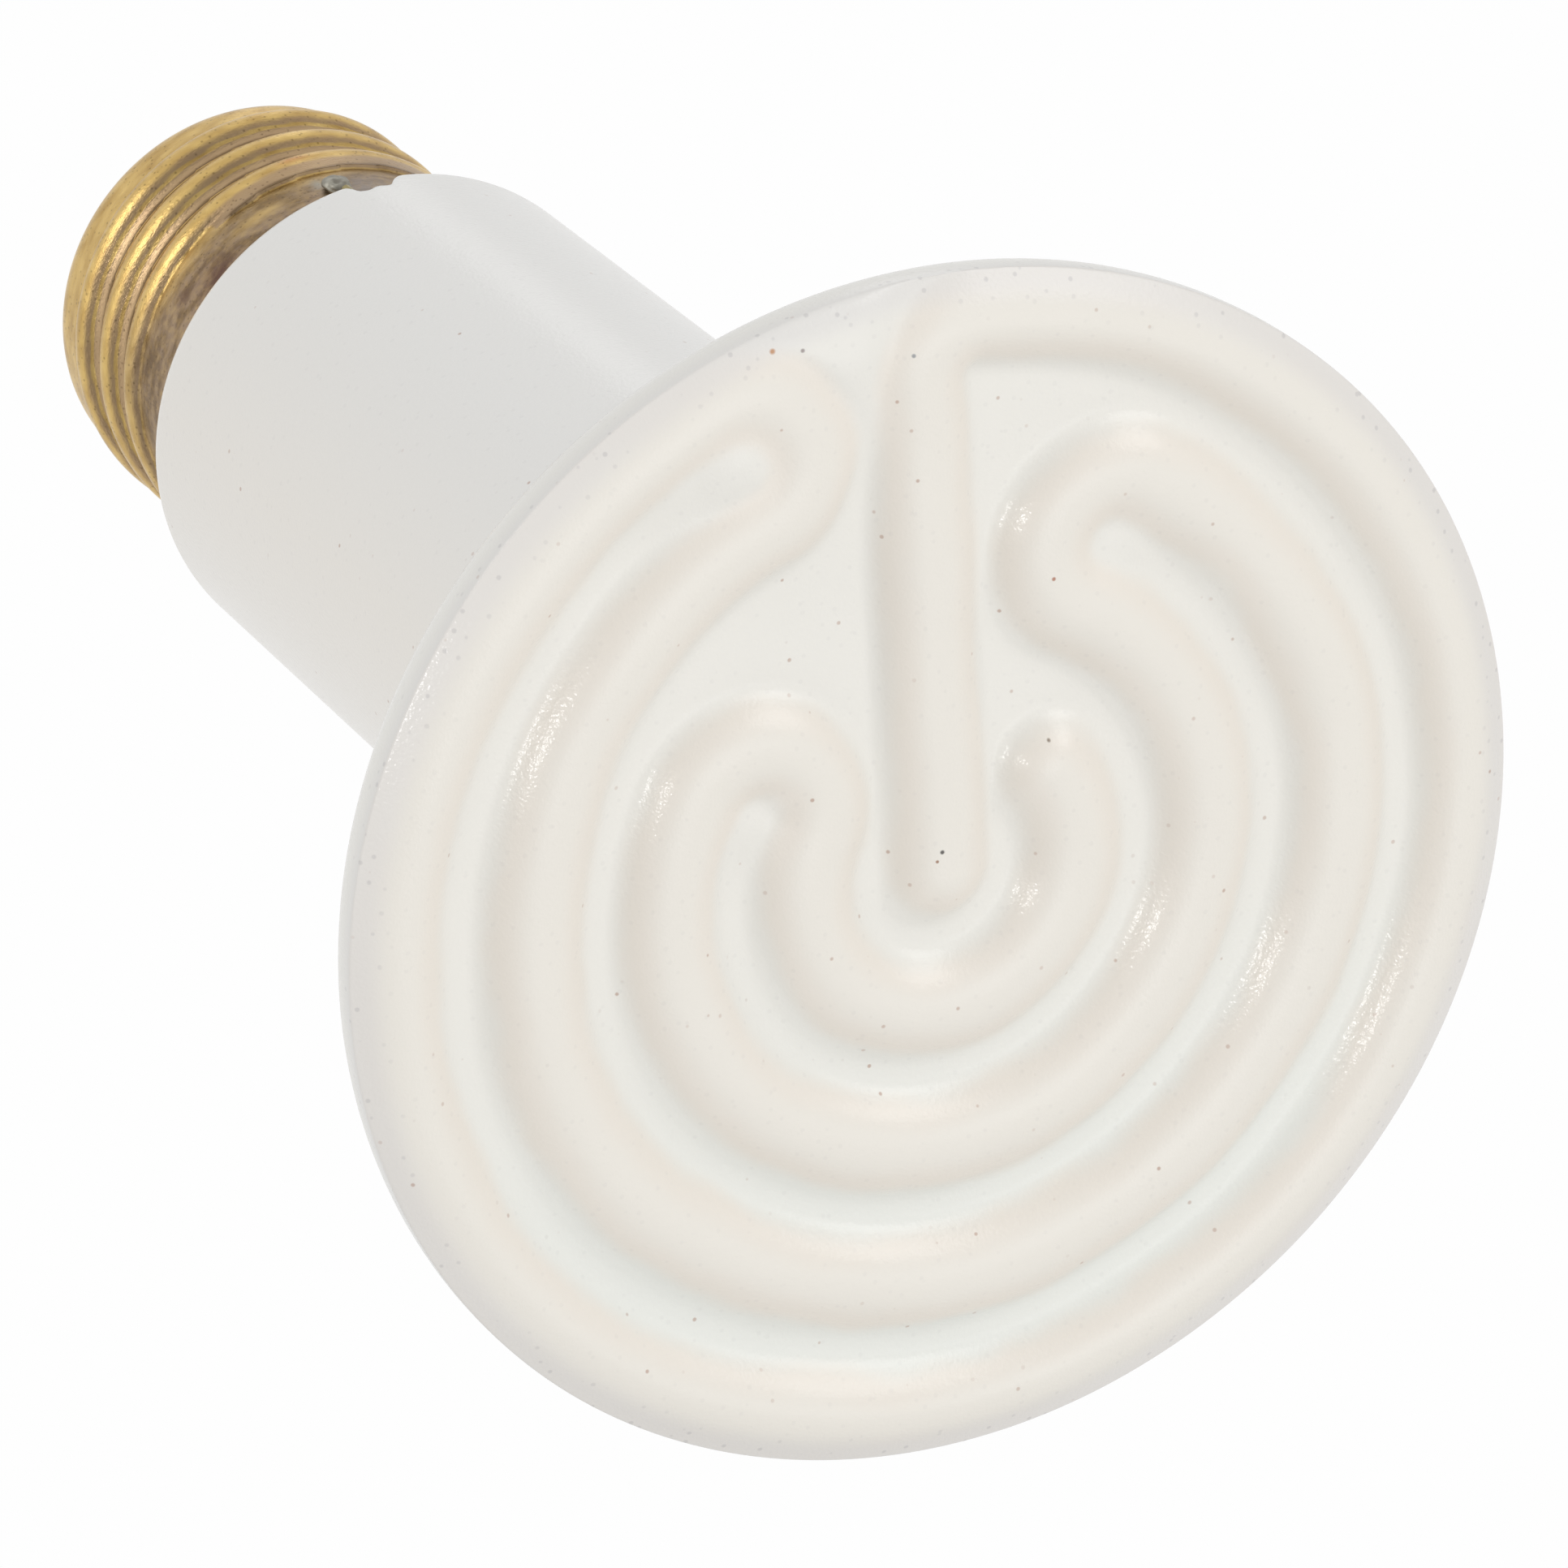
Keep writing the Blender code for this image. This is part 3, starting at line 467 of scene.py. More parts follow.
def makeCeramicBody():
    azimuths = columnAzimuths()
    edge = ceramic["discRadius"] - ceramic["rimFaceRound"]
    radii = np.arange(ceramic["rowStep"], edge, ceramic["rowStep"])
    rim = ceramic["discRadius"] - ceramic["rimFaceRound"] * (1 - np.sin(np.radians(np.linspace(5, 90, 17))))
    radii = np.concatenate([radii, rim])
    x, y = np.outer(radii, np.cos(azimuths)), np.outer(radii, np.sin(azimuths))
    face = np.stack([x, y, faceHeight(x, y)], axis=-1)
    back = cutNotch(turnedRows(backProfile(), azimuths), azimuths)
    rows = np.concatenate([face, back])
    away = ridgeDistance(x, y)
    offset = np.concatenate([away, np.full(back.shape[:2], ceramic["footHalf"])])
    # How far the glaze has run off the edge: full on the rim's corner, fading over the face and back
    bared, faceFade, backFade = ceramic["glazeRun"]
    faceEdge = smoothStep((np.hypot(x, y) - ceramic["discRadius"] + bared) / faceFade)
    backEdge = smoothStep(1 - (back[..., 2] - ceramic["rimFaceDrop"]) / backFade)
    worn = np.concatenate([faceEdge, backEdge])
    height = float(faceHeight(np.array(0.0), np.array(0.0)))
    ends = (0, 0, height), (0, 0, ceramic["boreFloor"])
    return gridPiece("glazedBody", rows, *ends, {"ridgeOffset": offset, "rimEdge": worn}, 50.0)


glazeLook = {
    "crest": "E8E4DC",
    "flank": "E8E2D9",  # thin, warm and a little pink
    "pool": "E8E6E0",  # thick, cooler and whiter
    "lowPool": "E6E7E2",
    "neck": "EBE7E0",
    "coolNeck": "E9E8E5",
    "edge": "DEDCDA",
    "greySpeck": "8F8A88",
    "brownSpeck": "A5745A",
    "freckle": "A8A5A8",
    "flankFrom": (0.7, 2.2),  # mm from the ridge's centre line
    "poolFrom": (2.3, 3.6),
    "borderShake": 0.45,  # mm that those borders wander
    "lowPoolY": (2, -26),  # mm, where the pools turn cooler
    "neckZ": (4, 26),
    "coolNeckY": (4, 15),
    "edgeShare": 0.6,
    "specks": (1.7, 0.17, 0.6),  # spacing and radius in mm, and strength
    "speckFade": 2.2,  # the higher, the fewer of them are strong
    "freckles": (0.95, 0.2, 0.32),
    "frecklesOnFace": 0.22,  # their share away from the rim
    "mottleMm": 9,
    "peelMm": 0.9,
    "grainMm": 0.25,  # finer on the real glaze, and drawn this coarse so that it shows
    "peelBump": (0.25, 0.03),  # strength, and depth in mm
    "bumps": {"Normal": (0.5, 0.03), "Coat Normal": (0.6, 0.04)},
    "shader": {
        "Roughness": 0.42,
        "Coat Weight": 0.6,
        "Coat Roughness": 0.18,
        "Coat IOR": 1.4,
        "IOR": 1.5,
        "Specular IOR Level": 0.4,
    },
    # Larger specks in the glaze: place on the face in mm, radius in mm and colour
    "marks": [
        (9.16, 35.25, 0.24, "C08A5E"),
        (7.35, 34.99, 0.18, "9A8F8D"),
        (0.48, 33.28, 0.16, "94979B"),
        (-0.06, 1.55, 0.17, "3E3B3A"),
        (0.27, 1.0, 0.13, "9B7358"),
        (-7.88, 17.3, 0.16, "B07A63"),
        (-7.45, 6.84, 0.16, "8A7B6C"),
    ],
}


def speckLayer(tree, place, cellMm, radiusMm, darkest):
    # Specks where the surface cuts through small balls scattered in space, so their sizes vary
    cells = addNode(tree, "TexVoronoi", {"Vector": place, "Scale": 1000 / cellMm, "Randomness": 1.0})
    rim, core = radiusMm / cellMm, 0.45 * radiusMm / cellMm
    limits = {"From Min": core, "From Max": rim, "To Min": darkest, "To Max": 0.0}
    limits["Value"] = cells.outputs["Distance"]
    speck = addNode(tree, "MapRange", limits, interpolation_type="SMOOTHSTEP")
    return speck.outputs[0], cells.outputs["Color"]


def layTints(tree, tone, layers):
    # Lays each (share, color) over the tone below it
    for share, color in layers:
        tone = addNode(tree, "Mix", {0: share, 6: tone, 7: color}, data_type="RGBA").outputs[2]
    return tone


def makeGlaze():
    # Cast stoneware under a satin tin-white glaze: soft highlights with a fine sparkle, cool and white
    # where it pools beside the ridge, and warm where it is thin on the crests
    material, tree, shader = newMaterial("satin_glazed_stoneware")
    glaze = glazeLook
    look = {k: linearColor(v) for k, v in glaze.items() if isinstance(v, str)}
    place = addNode(tree, "TexCoord").outputs["Object"]
    parts = addNode(tree, "SeparateXYZ", {0: place}).outputs
    mottle = addNode(tree, "TexNoise", {"Vector": place, "Scale": 1000 / glaze["mottleMm"], "Detail": 3.0})
    offset = addNode(tree, "Attribute", attribute_name="ridgeOffset").outputs["Fac"]
    shaken = addNode(tree, "MapRange", {"Value": mottle.outputs["Fac"], "From Min": 0.3, "From Max": 0.7,
                                        "To Min": -glaze["borderShake"], "To Max": glaze["borderShake"]})
    away = addNode(tree, "Math", {0: offset, 1: shaken.outputs[0]}, operation="ADD").outputs[0]
    shares = {}
    for name, value, (start, end), unit, curve in (
        ("thin", away, glaze["flankFrom"], 1, "SMOOTHSTEP"),
        ("thick", away, glaze["poolFrom"], 1, "SMOOTHSTEP"),
        ("low", parts["Y"], glaze["lowPoolY"], mm, "SMOOTHSTEP"),
        ("up", parts["Z"], glaze["neckZ"], mm, "LINEAR"),
        ("cool", parts["Y"], glaze["coolNeckY"], mm, "LINEAR"),
    ):
        limits = {"Value": value, "From Min": start * unit, "From Max": end * unit}
        shares[name] = addNode(tree, "MapRange", limits, interpolation_type=curve).outputs[0]
    pool = layTints(tree, look["pool"], [(shares["low"], look["lowPool"])])
    neck = layTints(tree, look["neck"], [(shares["cool"], look["coolNeck"])])
    edge = addNode(tree, "Attribute", attribute_name="rimEdge").outputs["Fac"]
    bared = addNode(tree, "Math", {0: edge, 1: glaze["edgeShare"]}, operation="MULTIPLY").outputs[0]
    layers = [(shares["thin"], look["flank"]), (shares["thick"], pool), (shares["up"], neck)]
    layers.append((bared, look["edge"]))

    # Fine iron specks all over, and pale grey freckles that gather on the rim
    speck, chance = speckLayer(tree, place, *glaze["specks"])
    drawn = addNode(tree, "SeparateColor", {0: chance}).outputs[1]
    faint = addNode(tree, "Math", {0: drawn, 1: glaze["speckFade"]}, operation="POWER").outputs[0]
    speck = addNode(tree, "Math", {0: speck, 1: faint}, operation="MULTIPLY").outputs[0]
    iron = addNode(tree, "ValToRGB", {0: chance}, [(0.3, look["greySpeck"]), (0.55, look["brownSpeck"])])
    layers.append((speck, iron.outputs[0]))
    freckle, _ = speckLayer(tree, place, *glaze["freckles"])
    gather = addNode(tree, "MapRange", {"Value": edge, "To Min": glaze["frecklesOnFace"], "To Max": 1.0})
    freckle = addNode(tree, "Math", {0: freckle, 1: gather.outputs[0]}, operation="MULTIPLY").outputs[0]
    layers.append((freckle, look["freckle"]))
    flat = addNode(tree, "VectorMath", {0: place, 1: (1, 1, 0.1)}, operation="MULTIPLY").outputs[0]
    for x, y, radius, markHex in glaze["marks"]:
        far = addNode(tree, "VectorMath", {0: flat, 1: (x * mm, y * mm, 0)}, operation="DISTANCE")
        near = addNode(tree, "MapRange", {"Value": far.outputs["Value"], "From Min": 0.5 * radius * mm,
                                          "From Max": radius * mm, "To Min": 0.9, "To Max": 0.0})
        layers.append((near.outputs[0], linearColor(markHex)))
    tree.links.new(layTints(tree, look["crest"], layers), shader.inputs["Base Color"])

    peel = addNode(tree, "TexNoise", {"Vector": place, "Scale": 1000 / glaze["peelMm"], "Detail": 2.0})
    grain = addNode(tree, "TexNoise", {"Vector": place, "Scale": 1000 / glaze["grainMm"], "Detail": 1.0})
    strength, depth = glaze["peelBump"]
    soft = addNode(tree, "Bump", {"Strength": strength, "Distance": depth * mm,
                                  "Height": peel.outputs["Fac"]})
    for socket, (strength, depth) in glaze["bumps"].items():
        fine = addNode(tree, "Bump", {"Strength": strength, "Distance": depth * mm,
                                      "Height": grain.outputs["Fac"], "Normal": soft.outputs[0]})
        tree.links.new(fine.outputs[0], shader.inputs[socket])
    for socket, value in glaze["shader"].items():
        shader.inputs[socket].default_value = value
    return material


dress(makeCeramicBody(), makeGlaze(), "glazed_ceramic", "ceramic_body")
print("ceramic body is cast and glazed")

# Screw shell: rolled brass with a plain collar, a round thread and a flange round the tip. Lengths are
# in mm, and turns count along the thread
shell = {
    "rimZ": shellLow.z,
    "topZ": shellHigh.z,
    "collarRadius": 12.55,
    "wall": 0.4,
    "shoulder": 2.2,
    "holeRadius": 8.2,
    "proud": 0.55,  # height of the thread over the collar
    "pitch": 3.629,
    "arc": 1.19,  # radius of the thread's round crests and roots
    "firstCrest": 9.1,  # above the rim, at azimuth 0
    "startTurn": -0.42,
    "endTurn": 2.6,
    "ramp": 0.3,  # turns over which the thread grows and dies away
    "coneLength": 3.4,  # of the first crest's straight underside
    "coneTurns": (0.14, 0.06, 0.42, 0.08),  # its start and fade in, its end and fade out
    "phaseFade": 0.12,  # how far off the collar's radius the tints of the thread are full
    # Brown heat tint: how far up it reaches, and its fade. The clear patch and the coloured ones give
    # azimuth and spread in degrees, height over the neck's end and spread in mm, and strength
    "heatReach": (8.9, 2.6),
    "clearPatch": (67, 9, 5.7, 0.6, 0.75),
    "patches": {
        "purple": [(47, 7, 3.7, 1.5, 1.0), (36, 3, 5.6, 0.6, 0.6)],
        "orange": [(86, 4, 9.5, 0.35, 1.0), (30, 16, 9.9, 0.4, 0.5)],
        "blue": [(99, 9, 4.5, 2.5, 1.0)],
        "silver": [(87.3, 2.2, 6.2, 0.8, 1.0)],
    },
    "columns": 288,
    "rowStep": 0.13,
    "innerRowStep": 0.5,
}


def threadPhase(azimuth, z):
    # Turns from the nearest crest, minus towards the neck, and how far along the thread that crest is
    turn = (z - shell["rimZ"] - shell["firstCrest"]) / shell["pitch"] - azimuth / (2 * math.pi)
    nearest = np.round(turn)
    return turn - nearest, nearest + azimuth / (2 * math.pi)


def threadRadius(azimuth, z):
    s = shell
    phase, along = threadPhase(azimuth, z)
    offset = np.abs(phase) * s["pitch"]
    quarter = s["pitch"] / 4
    crest = s["arc"] - np.sqrt(np.clip(s["arc"] ** 2 - offset**2, 0, None))
    depth = 2 * (s["arc"] - math.sqrt(s["arc"] ** 2 - quarter**2))
    root = depth - s["arc"] + np.sqrt(np.clip(s["arc"] ** 2 - (2 * quarter - offset) ** 2, 0, None))
    rise = s["proud"] - np.where(offset <= quarter, crest, root)
    # With no crest beyond it, a flank ends on the plain collar
    lastBelow = (phase < 0) & (along - 1 < s["startTurn"] + s["ramp"] / 2)
    lastAbove = (phase > 0) & (along + 1 > s["endTurn"] - s["ramp"] / 2)
    rise = np.where(lastBelow | lastAbove, np.maximum(rise, 0.0), rise)
    # Past the lead the underside of the first crest runs straight down to the collar
    cone = s["proud"] * (1 + phase * s["pitch"] / s["coneLength"])
    start, fadeIn, end, fadeOut = s["coneTurns"]
    straight = smoothStep((along - start) / fadeIn) * smoothStep((end - along) / fadeOut) * (phase < 0)
    rise = rise + straight * np.maximum(cone - rise, 0.0)
    grown = smoothStep((along - s["startTurn"]) / s["ramp"])
    grown = grown * smoothStep((s["endTurn"] - along) / s["ramp"])
    return s["collarRadius"] + grown * rise


def brassTints(azimuths, heights):
    # Shares of each heat colour over the shell's outside
    degrees = (np.degrees(azimuths) + 180) % 360 - 180
    degrees, above = np.meshgrid(degrees, heights - ceramic["neckEndZ"])
    wave = 0.4 * np.sin(np.radians(degrees) * 3 + 1.0) + 0.3 * np.sin(np.radians(degrees) * 7)
    reach, fade = shell["heatReach"]
    at, wide, up, tall, most = shell["clearPatch"]
    heat = smoothStep((reach + wave - above) / fade)
    tints = {"heatTint": heat * (1 - most * hump(degrees, at, wide) * hump(above, up, tall))}
    for name, patches in shell["patches"].items():
        tints[name] = 0.0
        for at, wide, up, tall, most in patches:
            tints[name] = tints[name] + most * hump(degrees, at, wide) * hump(above, up, tall)
    return tints


def makeScrewShell():
    s = shell
    azimuths = np.linspace(0, 2 * math.pi, s["columns"], endpoint=False)
    around = np.ones(azimuths.shape)
    shoulderZ = s["topZ"] - s["shoulder"]
    shoulderRadius = s["collarRadius"] - s["shoulder"]
    rows = []
    for inward, step in ((0.0, s["rowStep"]), (s["wall"], s["innerRowStep"])):
        levels = np.linspace(s["rimZ"], shoulderZ, round((shoulderZ - s["rimZ"]) / step))
        wall = [(threadRadius(azimuths, z) - inward, z) for z in levels]
        bend = s["shoulder"] - inward
        for a in np.radians(np.linspace(0, 90, 13)[1:]):
            radius = shoulderRadius + bend * math.cos(a)
            wall.append((radius * around, shoulderZ + bend * math.sin(a)))
        wall.append((s["holeRadius"] * around, s["topZ"] - inward))
        rows += wall if inward == 0.0 else wall[::-1]
    heights = np.array([z for _, z in rows])
    points = np.array([turnedRows([(r, z)], azimuths)[0] for r, z in rows])
    # The phase counts only where the wall leaves the collar's own radius
    phase = np.array([threadPhase(azimuths, z)[0] for z in heights])
    away = np.array([r for r, _ in rows]) - s["collarRadius"]
    attributes = {"threadPhase": phase * smoothStep(np.abs(away) / s["phaseFade"])}
    attributes.update(brassTints(azimuths, heights))
    return gridPiece("threadedShell", points, attributes=attributes)


brassLook = {
    "dark": "B39257",
    "pale": "D5B674",
    "flank": "A38A70",  # brown-mauve oxide plus painted dark reflection on the flanks facing the neck
    # painted shade: dark oxide in the root between two crests, darkened where one crest hides the next
    "crease": "5F4A2C",
    "heat": "6F5C49",
    "heatPale": "8F7B69",
    "purple": "5D4038",
    "orange": "B5764A",
    "blue": "85807E",
    "silver": "A3A299",
    "pit": "4A3823",
    "cleanStops": (0.28, 0.7),  # how far the clouding spreads between dark and pale
    "burntStops": (0.4, 0.6),
    "flankPhase": (-0.12, -0.24, 0.8),  # turns from the crest where it starts and is full, and its share
    "creasePhase": (0.4, 0.48, 0.75),
    "borderShake": 0.02,  # turns that those borders wander
    "tintShares": {"heatTint": 0.92, "blue": 0.6, "orange": 0.7, "purple": 0.85, "silver": 0.7},
    "cloudMm": 1.8,
    "spotMm": 0.5,
    "pits": (0.42, 0.11, 0.38),  # spacing and radius in mm, and strength
    "grainMm": 0.28,  # finer on the real sheet, and drawn this coarse so that it shows
    "grainBump": (0.6, 0.05),  # strength, and depth in mm
    "roughness": (0.28, 0.44),  # of clean and of burnt brass
}


def makeBrass():
    # Rolled brass sheet, heat tinted from the neck end: satin gold crests with brown and mauve oxide and
    # painted shade between them, and fine pits along the rolling
    material, tree, shader = newMaterial("heat_tinted_rolled_brass")
    brass = brassLook
    look = {k: linearColor(v) for k, v in brass.items() if isinstance(v, str)}
    tints = {k: addNode(tree, "Attribute", attribute_name=k).outputs["Fac"] for k in brass["tintShares"]}
    place = addNode(tree, "TexCoord").outputs["Object"]
    rolled = addNode(tree, "VectorMath", {0: place, 1: (1, 1, 2.5)}, operation="MULTIPLY").outputs[0]
    clouds = addNode(tree, "TexNoise", {"Vector": rolled, "Scale": 1000 / brass["cloudMm"], "Detail": 5.0})
    cloud = clouds.outputs["Fac"]
    spots = addNode(tree, "TexNoise", {"Vector": place, "Scale": 1000 / brass["spotMm"], "Detail": 3.0})
    cleanStops = list(zip(brass["cleanStops"], (look["dark"], look["pale"])))
    burntStops = list(zip(brass["burntStops"], (look["heat"], look["heatPale"])))
    clean = addNode(tree, "ValToRGB", {0: cloud}, cleanStops).outputs[0]
    look["heatTint"] = addNode(tree, "ValToRGB", {0: cloud}, burntStops).outputs[0]
    nudge = addNode(tree, "MapRange", {"Value": cloud, "From Min": 0.3, "From Max": 0.7,
                                       "To Min": -brass["borderShake"], "To Max": brass["borderShake"]})
    phase = addNode(tree, "Attribute", attribute_name="threadPhase").outputs["Fac"]
    phase = addNode(tree, "Math", {0: phase, 1: nudge.outputs[0]}, operation="ADD").outputs[0]
    size = addNode(tree, "Math", {0: phase}, operation="ABSOLUTE").outputs[0]
    layers = []
    # Neck-facing flanks: mauve oxide and painted dark reflection; roots between crests: painted shade
    for name, value in (("flank", phase), ("crease", size)):
        start, full, most = brass[name + "Phase"]
        limits = {"Value": value, "From Min": start, "From Max": full, "To Max": most}
        share = addNode(tree, "MapRange", limits, interpolation_type="SMOOTHSTEP").outputs[0]
        layers.append((share, look[name]))
    patchy = addNode(tree, "MapRange", {"Value": spots.outputs["Fac"], "From Min": 0.25, "From Max": 0.6,
                                        "To Min": 0.7, "To Max": 1.0}).outputs[0]
    for name, most in brass["tintShares"].items():
        strength = addNode(tree, "Math", {0: tints[name], 1: patchy}, operation="MULTIPLY").outputs[0]
        share = addNode(tree, "Math", {0: strength, 1: most}, operation="MULTIPLY", use_clamp=True)
        layers.append((share.outputs[0], look[name]))
    pit, _ = speckLayer(tree, place, *brass["pits"])
    layers.append((pit, look["pit"]))
    tree.links.new(layTints(tree, clean, layers), shader.inputs["Base Color"])
    stretch = addNode(tree, "VectorMath", {0: place, 1: (1, 1, 3)}, operation="MULTIPLY").outputs[0]
    grain = addNode(tree, "TexNoise", {"Vector": stretch, "Scale": 1000 / brass["grainMm"], "Detail": 3.0})
    strength, depth = brass["grainBump"]
    bump = addNode(tree, "Bump", {"Strength": strength, "Distance": depth * mm,
                                  "Height": grain.outputs["Fac"]})
    tree.links.new(bump.outputs[0], shader.inputs["Normal"])
    smooth, dull = brass["roughness"]
    rough = addNode(tree, "MapRange", {"Value": tints["heatTint"], "To Min": smooth, "To Max": dull})
    tree.links.new(rough.outputs[0], shader.inputs["Roughness"])
    shader.inputs["Metallic"].default_value = 1.0
    return material


dress(makeScrewShell(), makeBrass(), "brass_shell", "screw_shell")
print("screw shell is rolled and tinted")


def plainFinish(name, darkHex, paleHex, grainMm, roughness, metallic, bumpMm):
    # A finish that clouds between two tones of one material, with bump from the same grain
    material, tree, shader = newMaterial(name)
    place = addNode(tree, "TexCoord").outputs["Object"]
    grain = addNode(tree, "TexNoise", {"Vector": place, "Scale": 1000 / grainMm, "Detail": 3.0})
    stops = [(0.35, linearColor(darkHex)), (0.65, linearColor(paleHex))]
    tones = addNode(tree, "ValToRGB", {0: grain.outputs["Fac"]}, stops)
    tree.links.new(tones.outputs[0], shader.inputs["Base Color"])
    bump = addNode(tree, "Bump", {"Strength": 0.5, "Distance": bumpMm * mm, "Height": grain.outputs["Fac"]})
    tree.links.new(bump.outputs[0], shader.inputs["Normal"])
    shader.inputs["Metallic"].default_value = metallic
    shader.inputs["Roughness"].default_value = roughness
    return material


# Tip of the base: insulating button, contact eyelet and the solder on the centre lead. Lengths in mm
tip = {
    "insulatorBaseZ": boxInMm("tip_insulator")[0].z,
    "insulatorTopZ": boxInMm("tip_insulator")[1].z,
    "underFlangeZ": 99.9,  # just below the shell's flange
    "overFlangeZ": 100.9,
    "shoulderRadius": 10.35,
    "waist": 7.9,
    "coneRadius": 9.0,
    "coneFoot": (0.3, 0.6),  # how far the cone's foot leans in, and its height
    "topRadius": 5.4,
    "holeRadius": 1.5,
    "glassEdge": 0.25,  # easing of the button's corners
    "contactLowZ": boxInMm("centre_contact")[0].z,
    "contactTopZ": boxInMm("centre_contact")[1].z,
    "contactRadius": 4.6,
    "contactThick": 0.7,
    "contactEdge": 0.2,  # easing of the eyelet's corners
    "contactRim": 0.1,  # how far the contact's rim lies below its face
    "pressedRing": (4.1, 3.7, 3.3, 0.12),  # radii of the groove near the contact's edge, and its depth
    "tubeBore": 0.6,
    "tubeRadius": 1.2,
    "tubeFoot": (2.2, 0.5),  # radius and thickness of the foot turned out inside
    "beadRadius": 2.6,
    "beadLowZ": boxInMm("centre_solder")[0].z,
    "beadTopZ": boxInMm("centre_solder")[1].z,
    "columns": 120,
}


def makeInsulatorButton(turn):
    t = tip
    hole, shoulder, waist, cone = t["holeRadius"], t["shoulderRadius"], t["waist"], t["coneRadius"]
    base, under, over, top = t["insulatorBaseZ"], t["underFlangeZ"], t["overFlangeZ"], t["insulatorTopZ"]
    lean, foot = t["coneFoot"]
    button = [(hole, base), (shoulder, base), (shoulder, under), (waist, under), (waist, over)]
    button += [(cone, over), (cone - lean, over + foot), (t["topRadius"], top), (hole, top)]
    # Pressed black glass: nearly black, with a sharp highlight
    glass = plainFinish("black_insulator_glass", "0B0A0C", "151316", 1.5, 0.12, 0.0, 0.01)
    piece = gridPiece("insulatorButton", turnedRows(rounded(button, t["glassEdge"]), turn))
    dress(piece, glass, "black_glass", "tip_insulator")


def makeContactEyelet(turn):
    t = tip
    bore, tube, edge = t["tubeBore"], t["tubeRadius"], t["contactRadius"]
    foot, thick = t["tubeFoot"]
    base, high = t["contactLowZ"], t["contactTopZ"]
    low = high - t["contactThick"]
    outer, middle, inner, groove = t["pressedRing"]
    eyelet = [(bore, base), (foot, base), (foot, base + thick), (tube, base + thick), (tube, low)]
    eyelet += [(edge, low), (edge, high - t["contactRim"])]
    eyelet += [(outer, high), (middle, high - groove), (inner, high), (bore, high)]
    # Stamped brass that the lampholder keeps clean: warm, even and satin
    stamped = plainFinish("stamped_contact_brass", "BC9A5A", "D2B272", 1.2, 0.3, 1.0, 0.01)
    piece = gridPiece("contactEyelet", turnedRows(rounded(eyelet, t["contactEdge"]), turn))
    dress(piece, stamped, "contact_brass", "centre_contact")


def makeTipSolder(turn):
    # The bead is pressed nearly flat on top and uneven round its foot
    radius, low, high = tip["beadRadius"], tip["beadLowZ"], tip["beadTopZ"]
    rise = high - low
    dome = [(radius * 0.4, low), (radius * 0.9, low)]
    for a in np.radians(range(0, 88, 6)):
        dome.append((radius * math.cos(a) ** 0.7, low + rise * math.sin(a)))
    rows = turnedRows(dome, turn)
    uneven = 1 - 0.03 * (1 + np.sin(3 * turn + 1.0)) - 0.015 * (1 + np.sin(7 * turn))
    rows[..., :2] *= uneven[None, :, None]
    # Solder wiped while hot: bright grey with soft clouds
    tin = plainFinish("bright_tin_solder", "A3A29D", "BDBCB6", 0.8, 0.3, 1.0, 0.03)
    dress(gridPiece("tipSolderBead", rows, (0, 0, low), (0, 0, high)), tin, "solder", "centre_solder")


tipTurn = np.linspace(0, 2 * math.pi, tip["columns"], endpoint=False)
makeInsulatorButton(tipTurn)
makeContactEyelet(tipTurn)
makeTipSolder(tipTurn)
print("tip of the base is assembled")

# Lump of solder that joins the side lead to the collar
lump = {
    "azimuth": 90.0,
    "radius": 12.86,  # mm, from the axis to its middle
    "z": 84.3,
    "half": (0.8, 0.5, 1.15),  # mm, half its width, depth and height
    "dimples": ((1.2, -0.5), (2.0, 0.6)),  # angles round and up the lump, where the flux boiled out
    "dimpleDepth": 0.25,
    "rows": 26,
    "columns": 48,
}


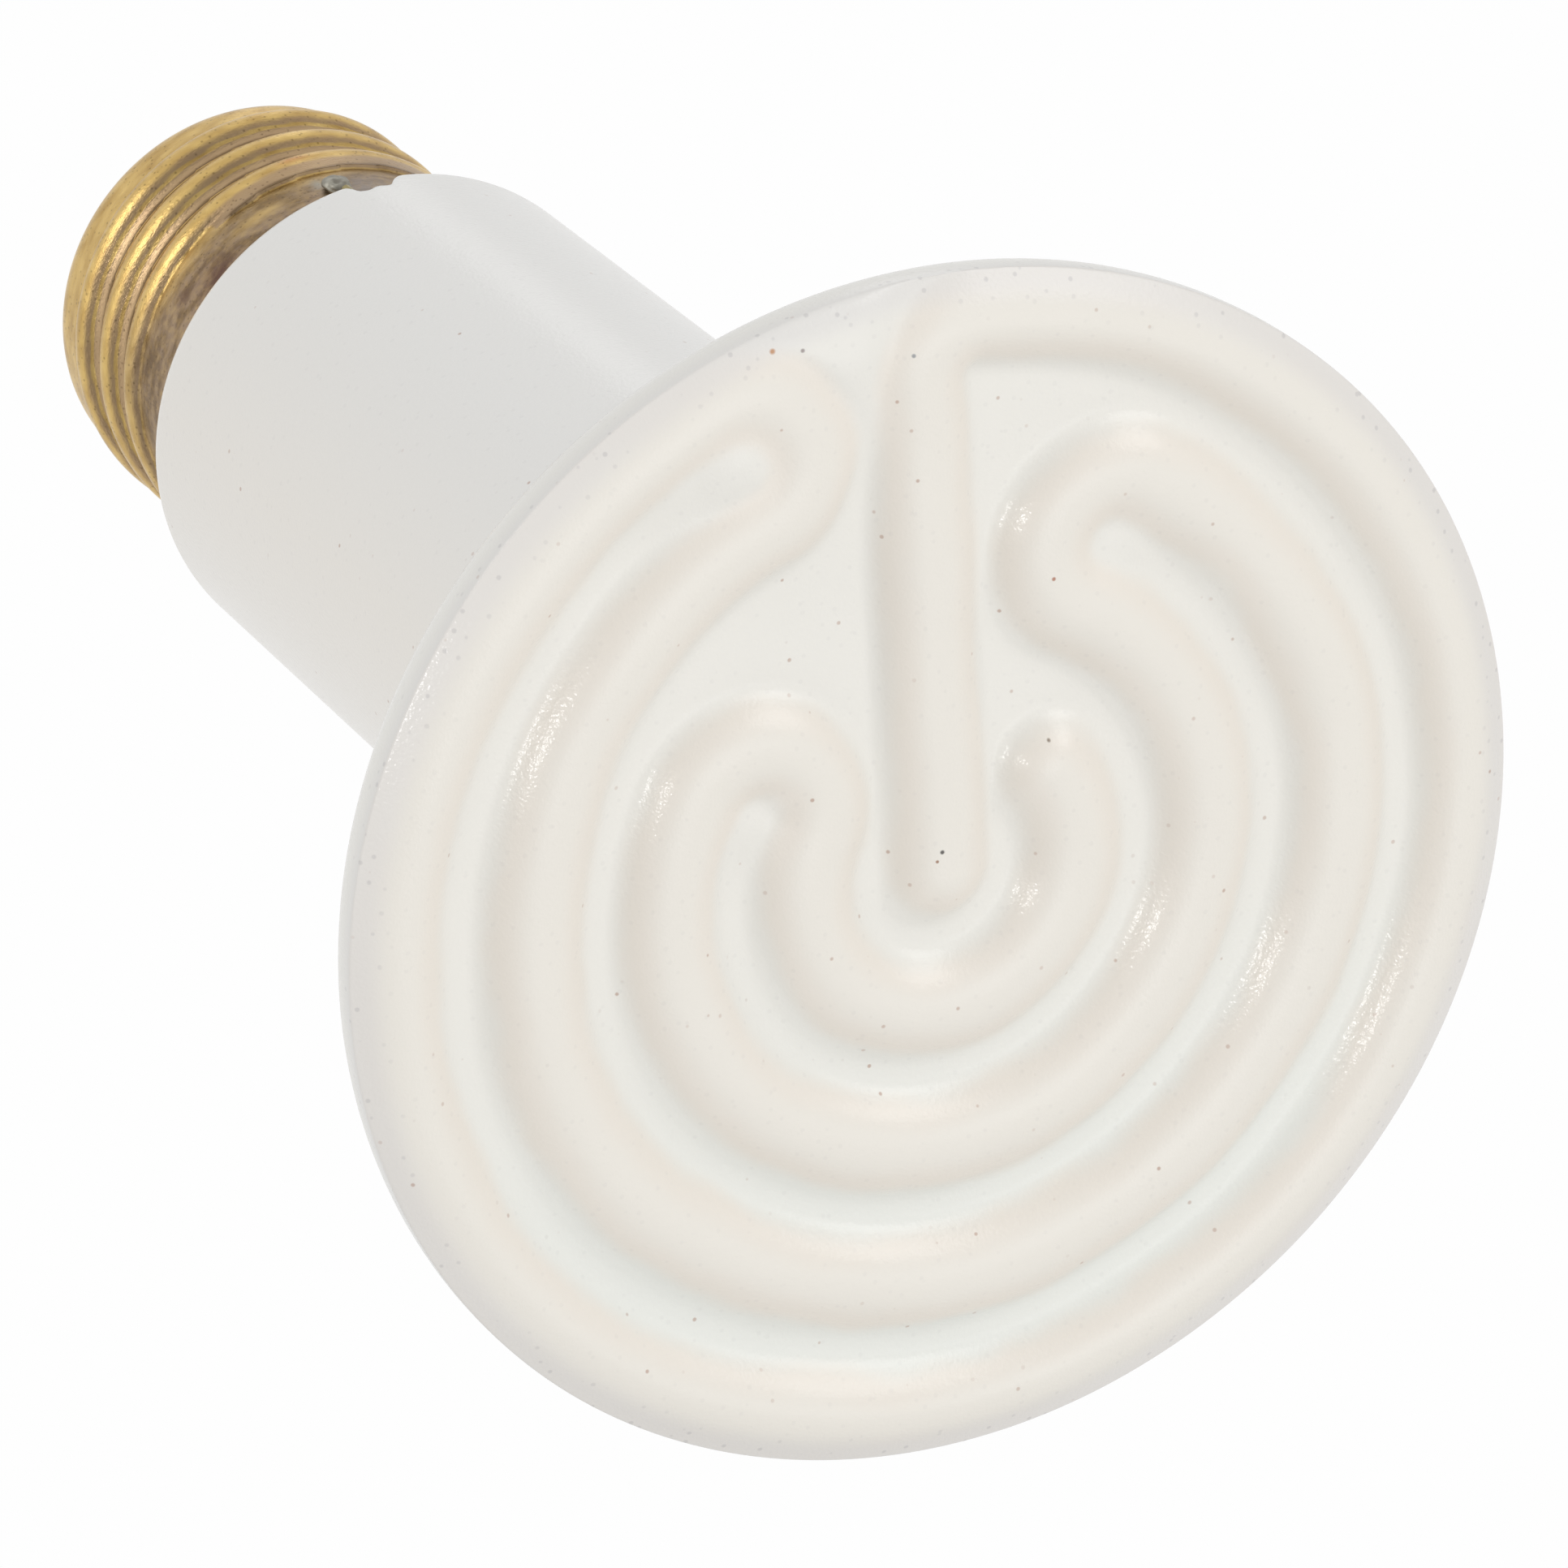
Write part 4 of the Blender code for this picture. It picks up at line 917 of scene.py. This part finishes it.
def makeSideSolder():
    turn = np.linspace(0, 2 * math.pi, lump["columns"], endpoint=False)
    levels = np.radians(np.linspace(-84, 84, lump["rows"]))
    a, b = np.meshgrid(turn, levels)
    uneven = 1 + 0.08 * np.sin(3 * a + 2 * b) + 0.05 * np.sin(5 * a - 4 * b + 1.0)
    uneven = uneven + 0.03 * np.sin(9 * b + 2 * a)
    for dimpleA, dimpleB in lump["dimples"]:
        uneven = uneven - lump["dimpleDepth"] * np.exp(-((a - dimpleA) ** 2 + (b - dimpleB) ** 2) / 0.05)
    wide, deep, tall = lump["half"]
    across = wide * uneven * np.cos(b) * np.cos(a)
    out = deep * uneven * np.cos(b) * np.sin(a)
    azimuth = math.radians(lump["azimuth"])
    outward = Vector((math.cos(azimuth), math.sin(azimuth), 0))
    side = Vector((math.sin(azimuth), -math.cos(azimuth), 0))
    centre = outward * lump["radius"] + Vector((0, 0, lump["z"]))
    flat = [centre[i] + across * side[i] + out * outward[i] for i in range(2)]
    rows = np.stack(flat + [lump["z"] + tall * np.sin(b)], axis=-1)
    ends = [tuple(centre + Vector((0, 0, way * tall))) for way in (-1, 1)]
    # Solder left rough by its flux: dull grey and dimpled
    tin = plainFinish("dull_tin_solder", "807C72", "A19E93", 0.5, 0.5, 1.0, 0.08)
    dress(gridPiece("sideSolderLump", rows, *ends), tin, "solder", "side_solder")


makeSideSolder()
print("side lead is soldered")

# CAD nodes whose shapes stay, each with its own finish
finishes = {
    # Bare wire browned by heat: a dull straw metal
    "side_lead": plainFinish("oxidised_nickel_wire", "7F7558", "A39667", 0.4, 0.4, 1.0, 0.02),
    # Fired basing cement: matt, sandy and pale
    "base_cement": plainFinish("basing_cement", "A9A08C", "C4BBA6", 0.5, 0.9, 0.0, 0.08),
    # Resistance wire fired in the casting: dark grey scale
    "heating_coil": plainFinish("oxidised_resistance_wire", "4A4644", "6B6561", 0.4, 0.5, 1.0, 0.03),
    # Drawn wire that the sleeve keeps clean: pale grey and fairly bright
    "centre_lead": plainFinish("drawn_nickel_wire", "A7A29A", "BDB8B0", 0.4, 0.35, 1.0, 0.01),
    # Woven glass sleeving: matt cream with a fine weave's unevenness
    "centre_lead_sleeve": plainFinish("woven_glass_sleeve", "C9C2AC", "DBD5C2", 0.4, 0.85, 0.0, 0.1),
}
finishes["side_lead_sleeve"] = finishes["centre_lead_sleeve"]
for node, finish in finishes.items():
    for slot in bpy.data.objects[node].material_slots:
        slot.material = finish
print("wires, sleeves and cement are finished")
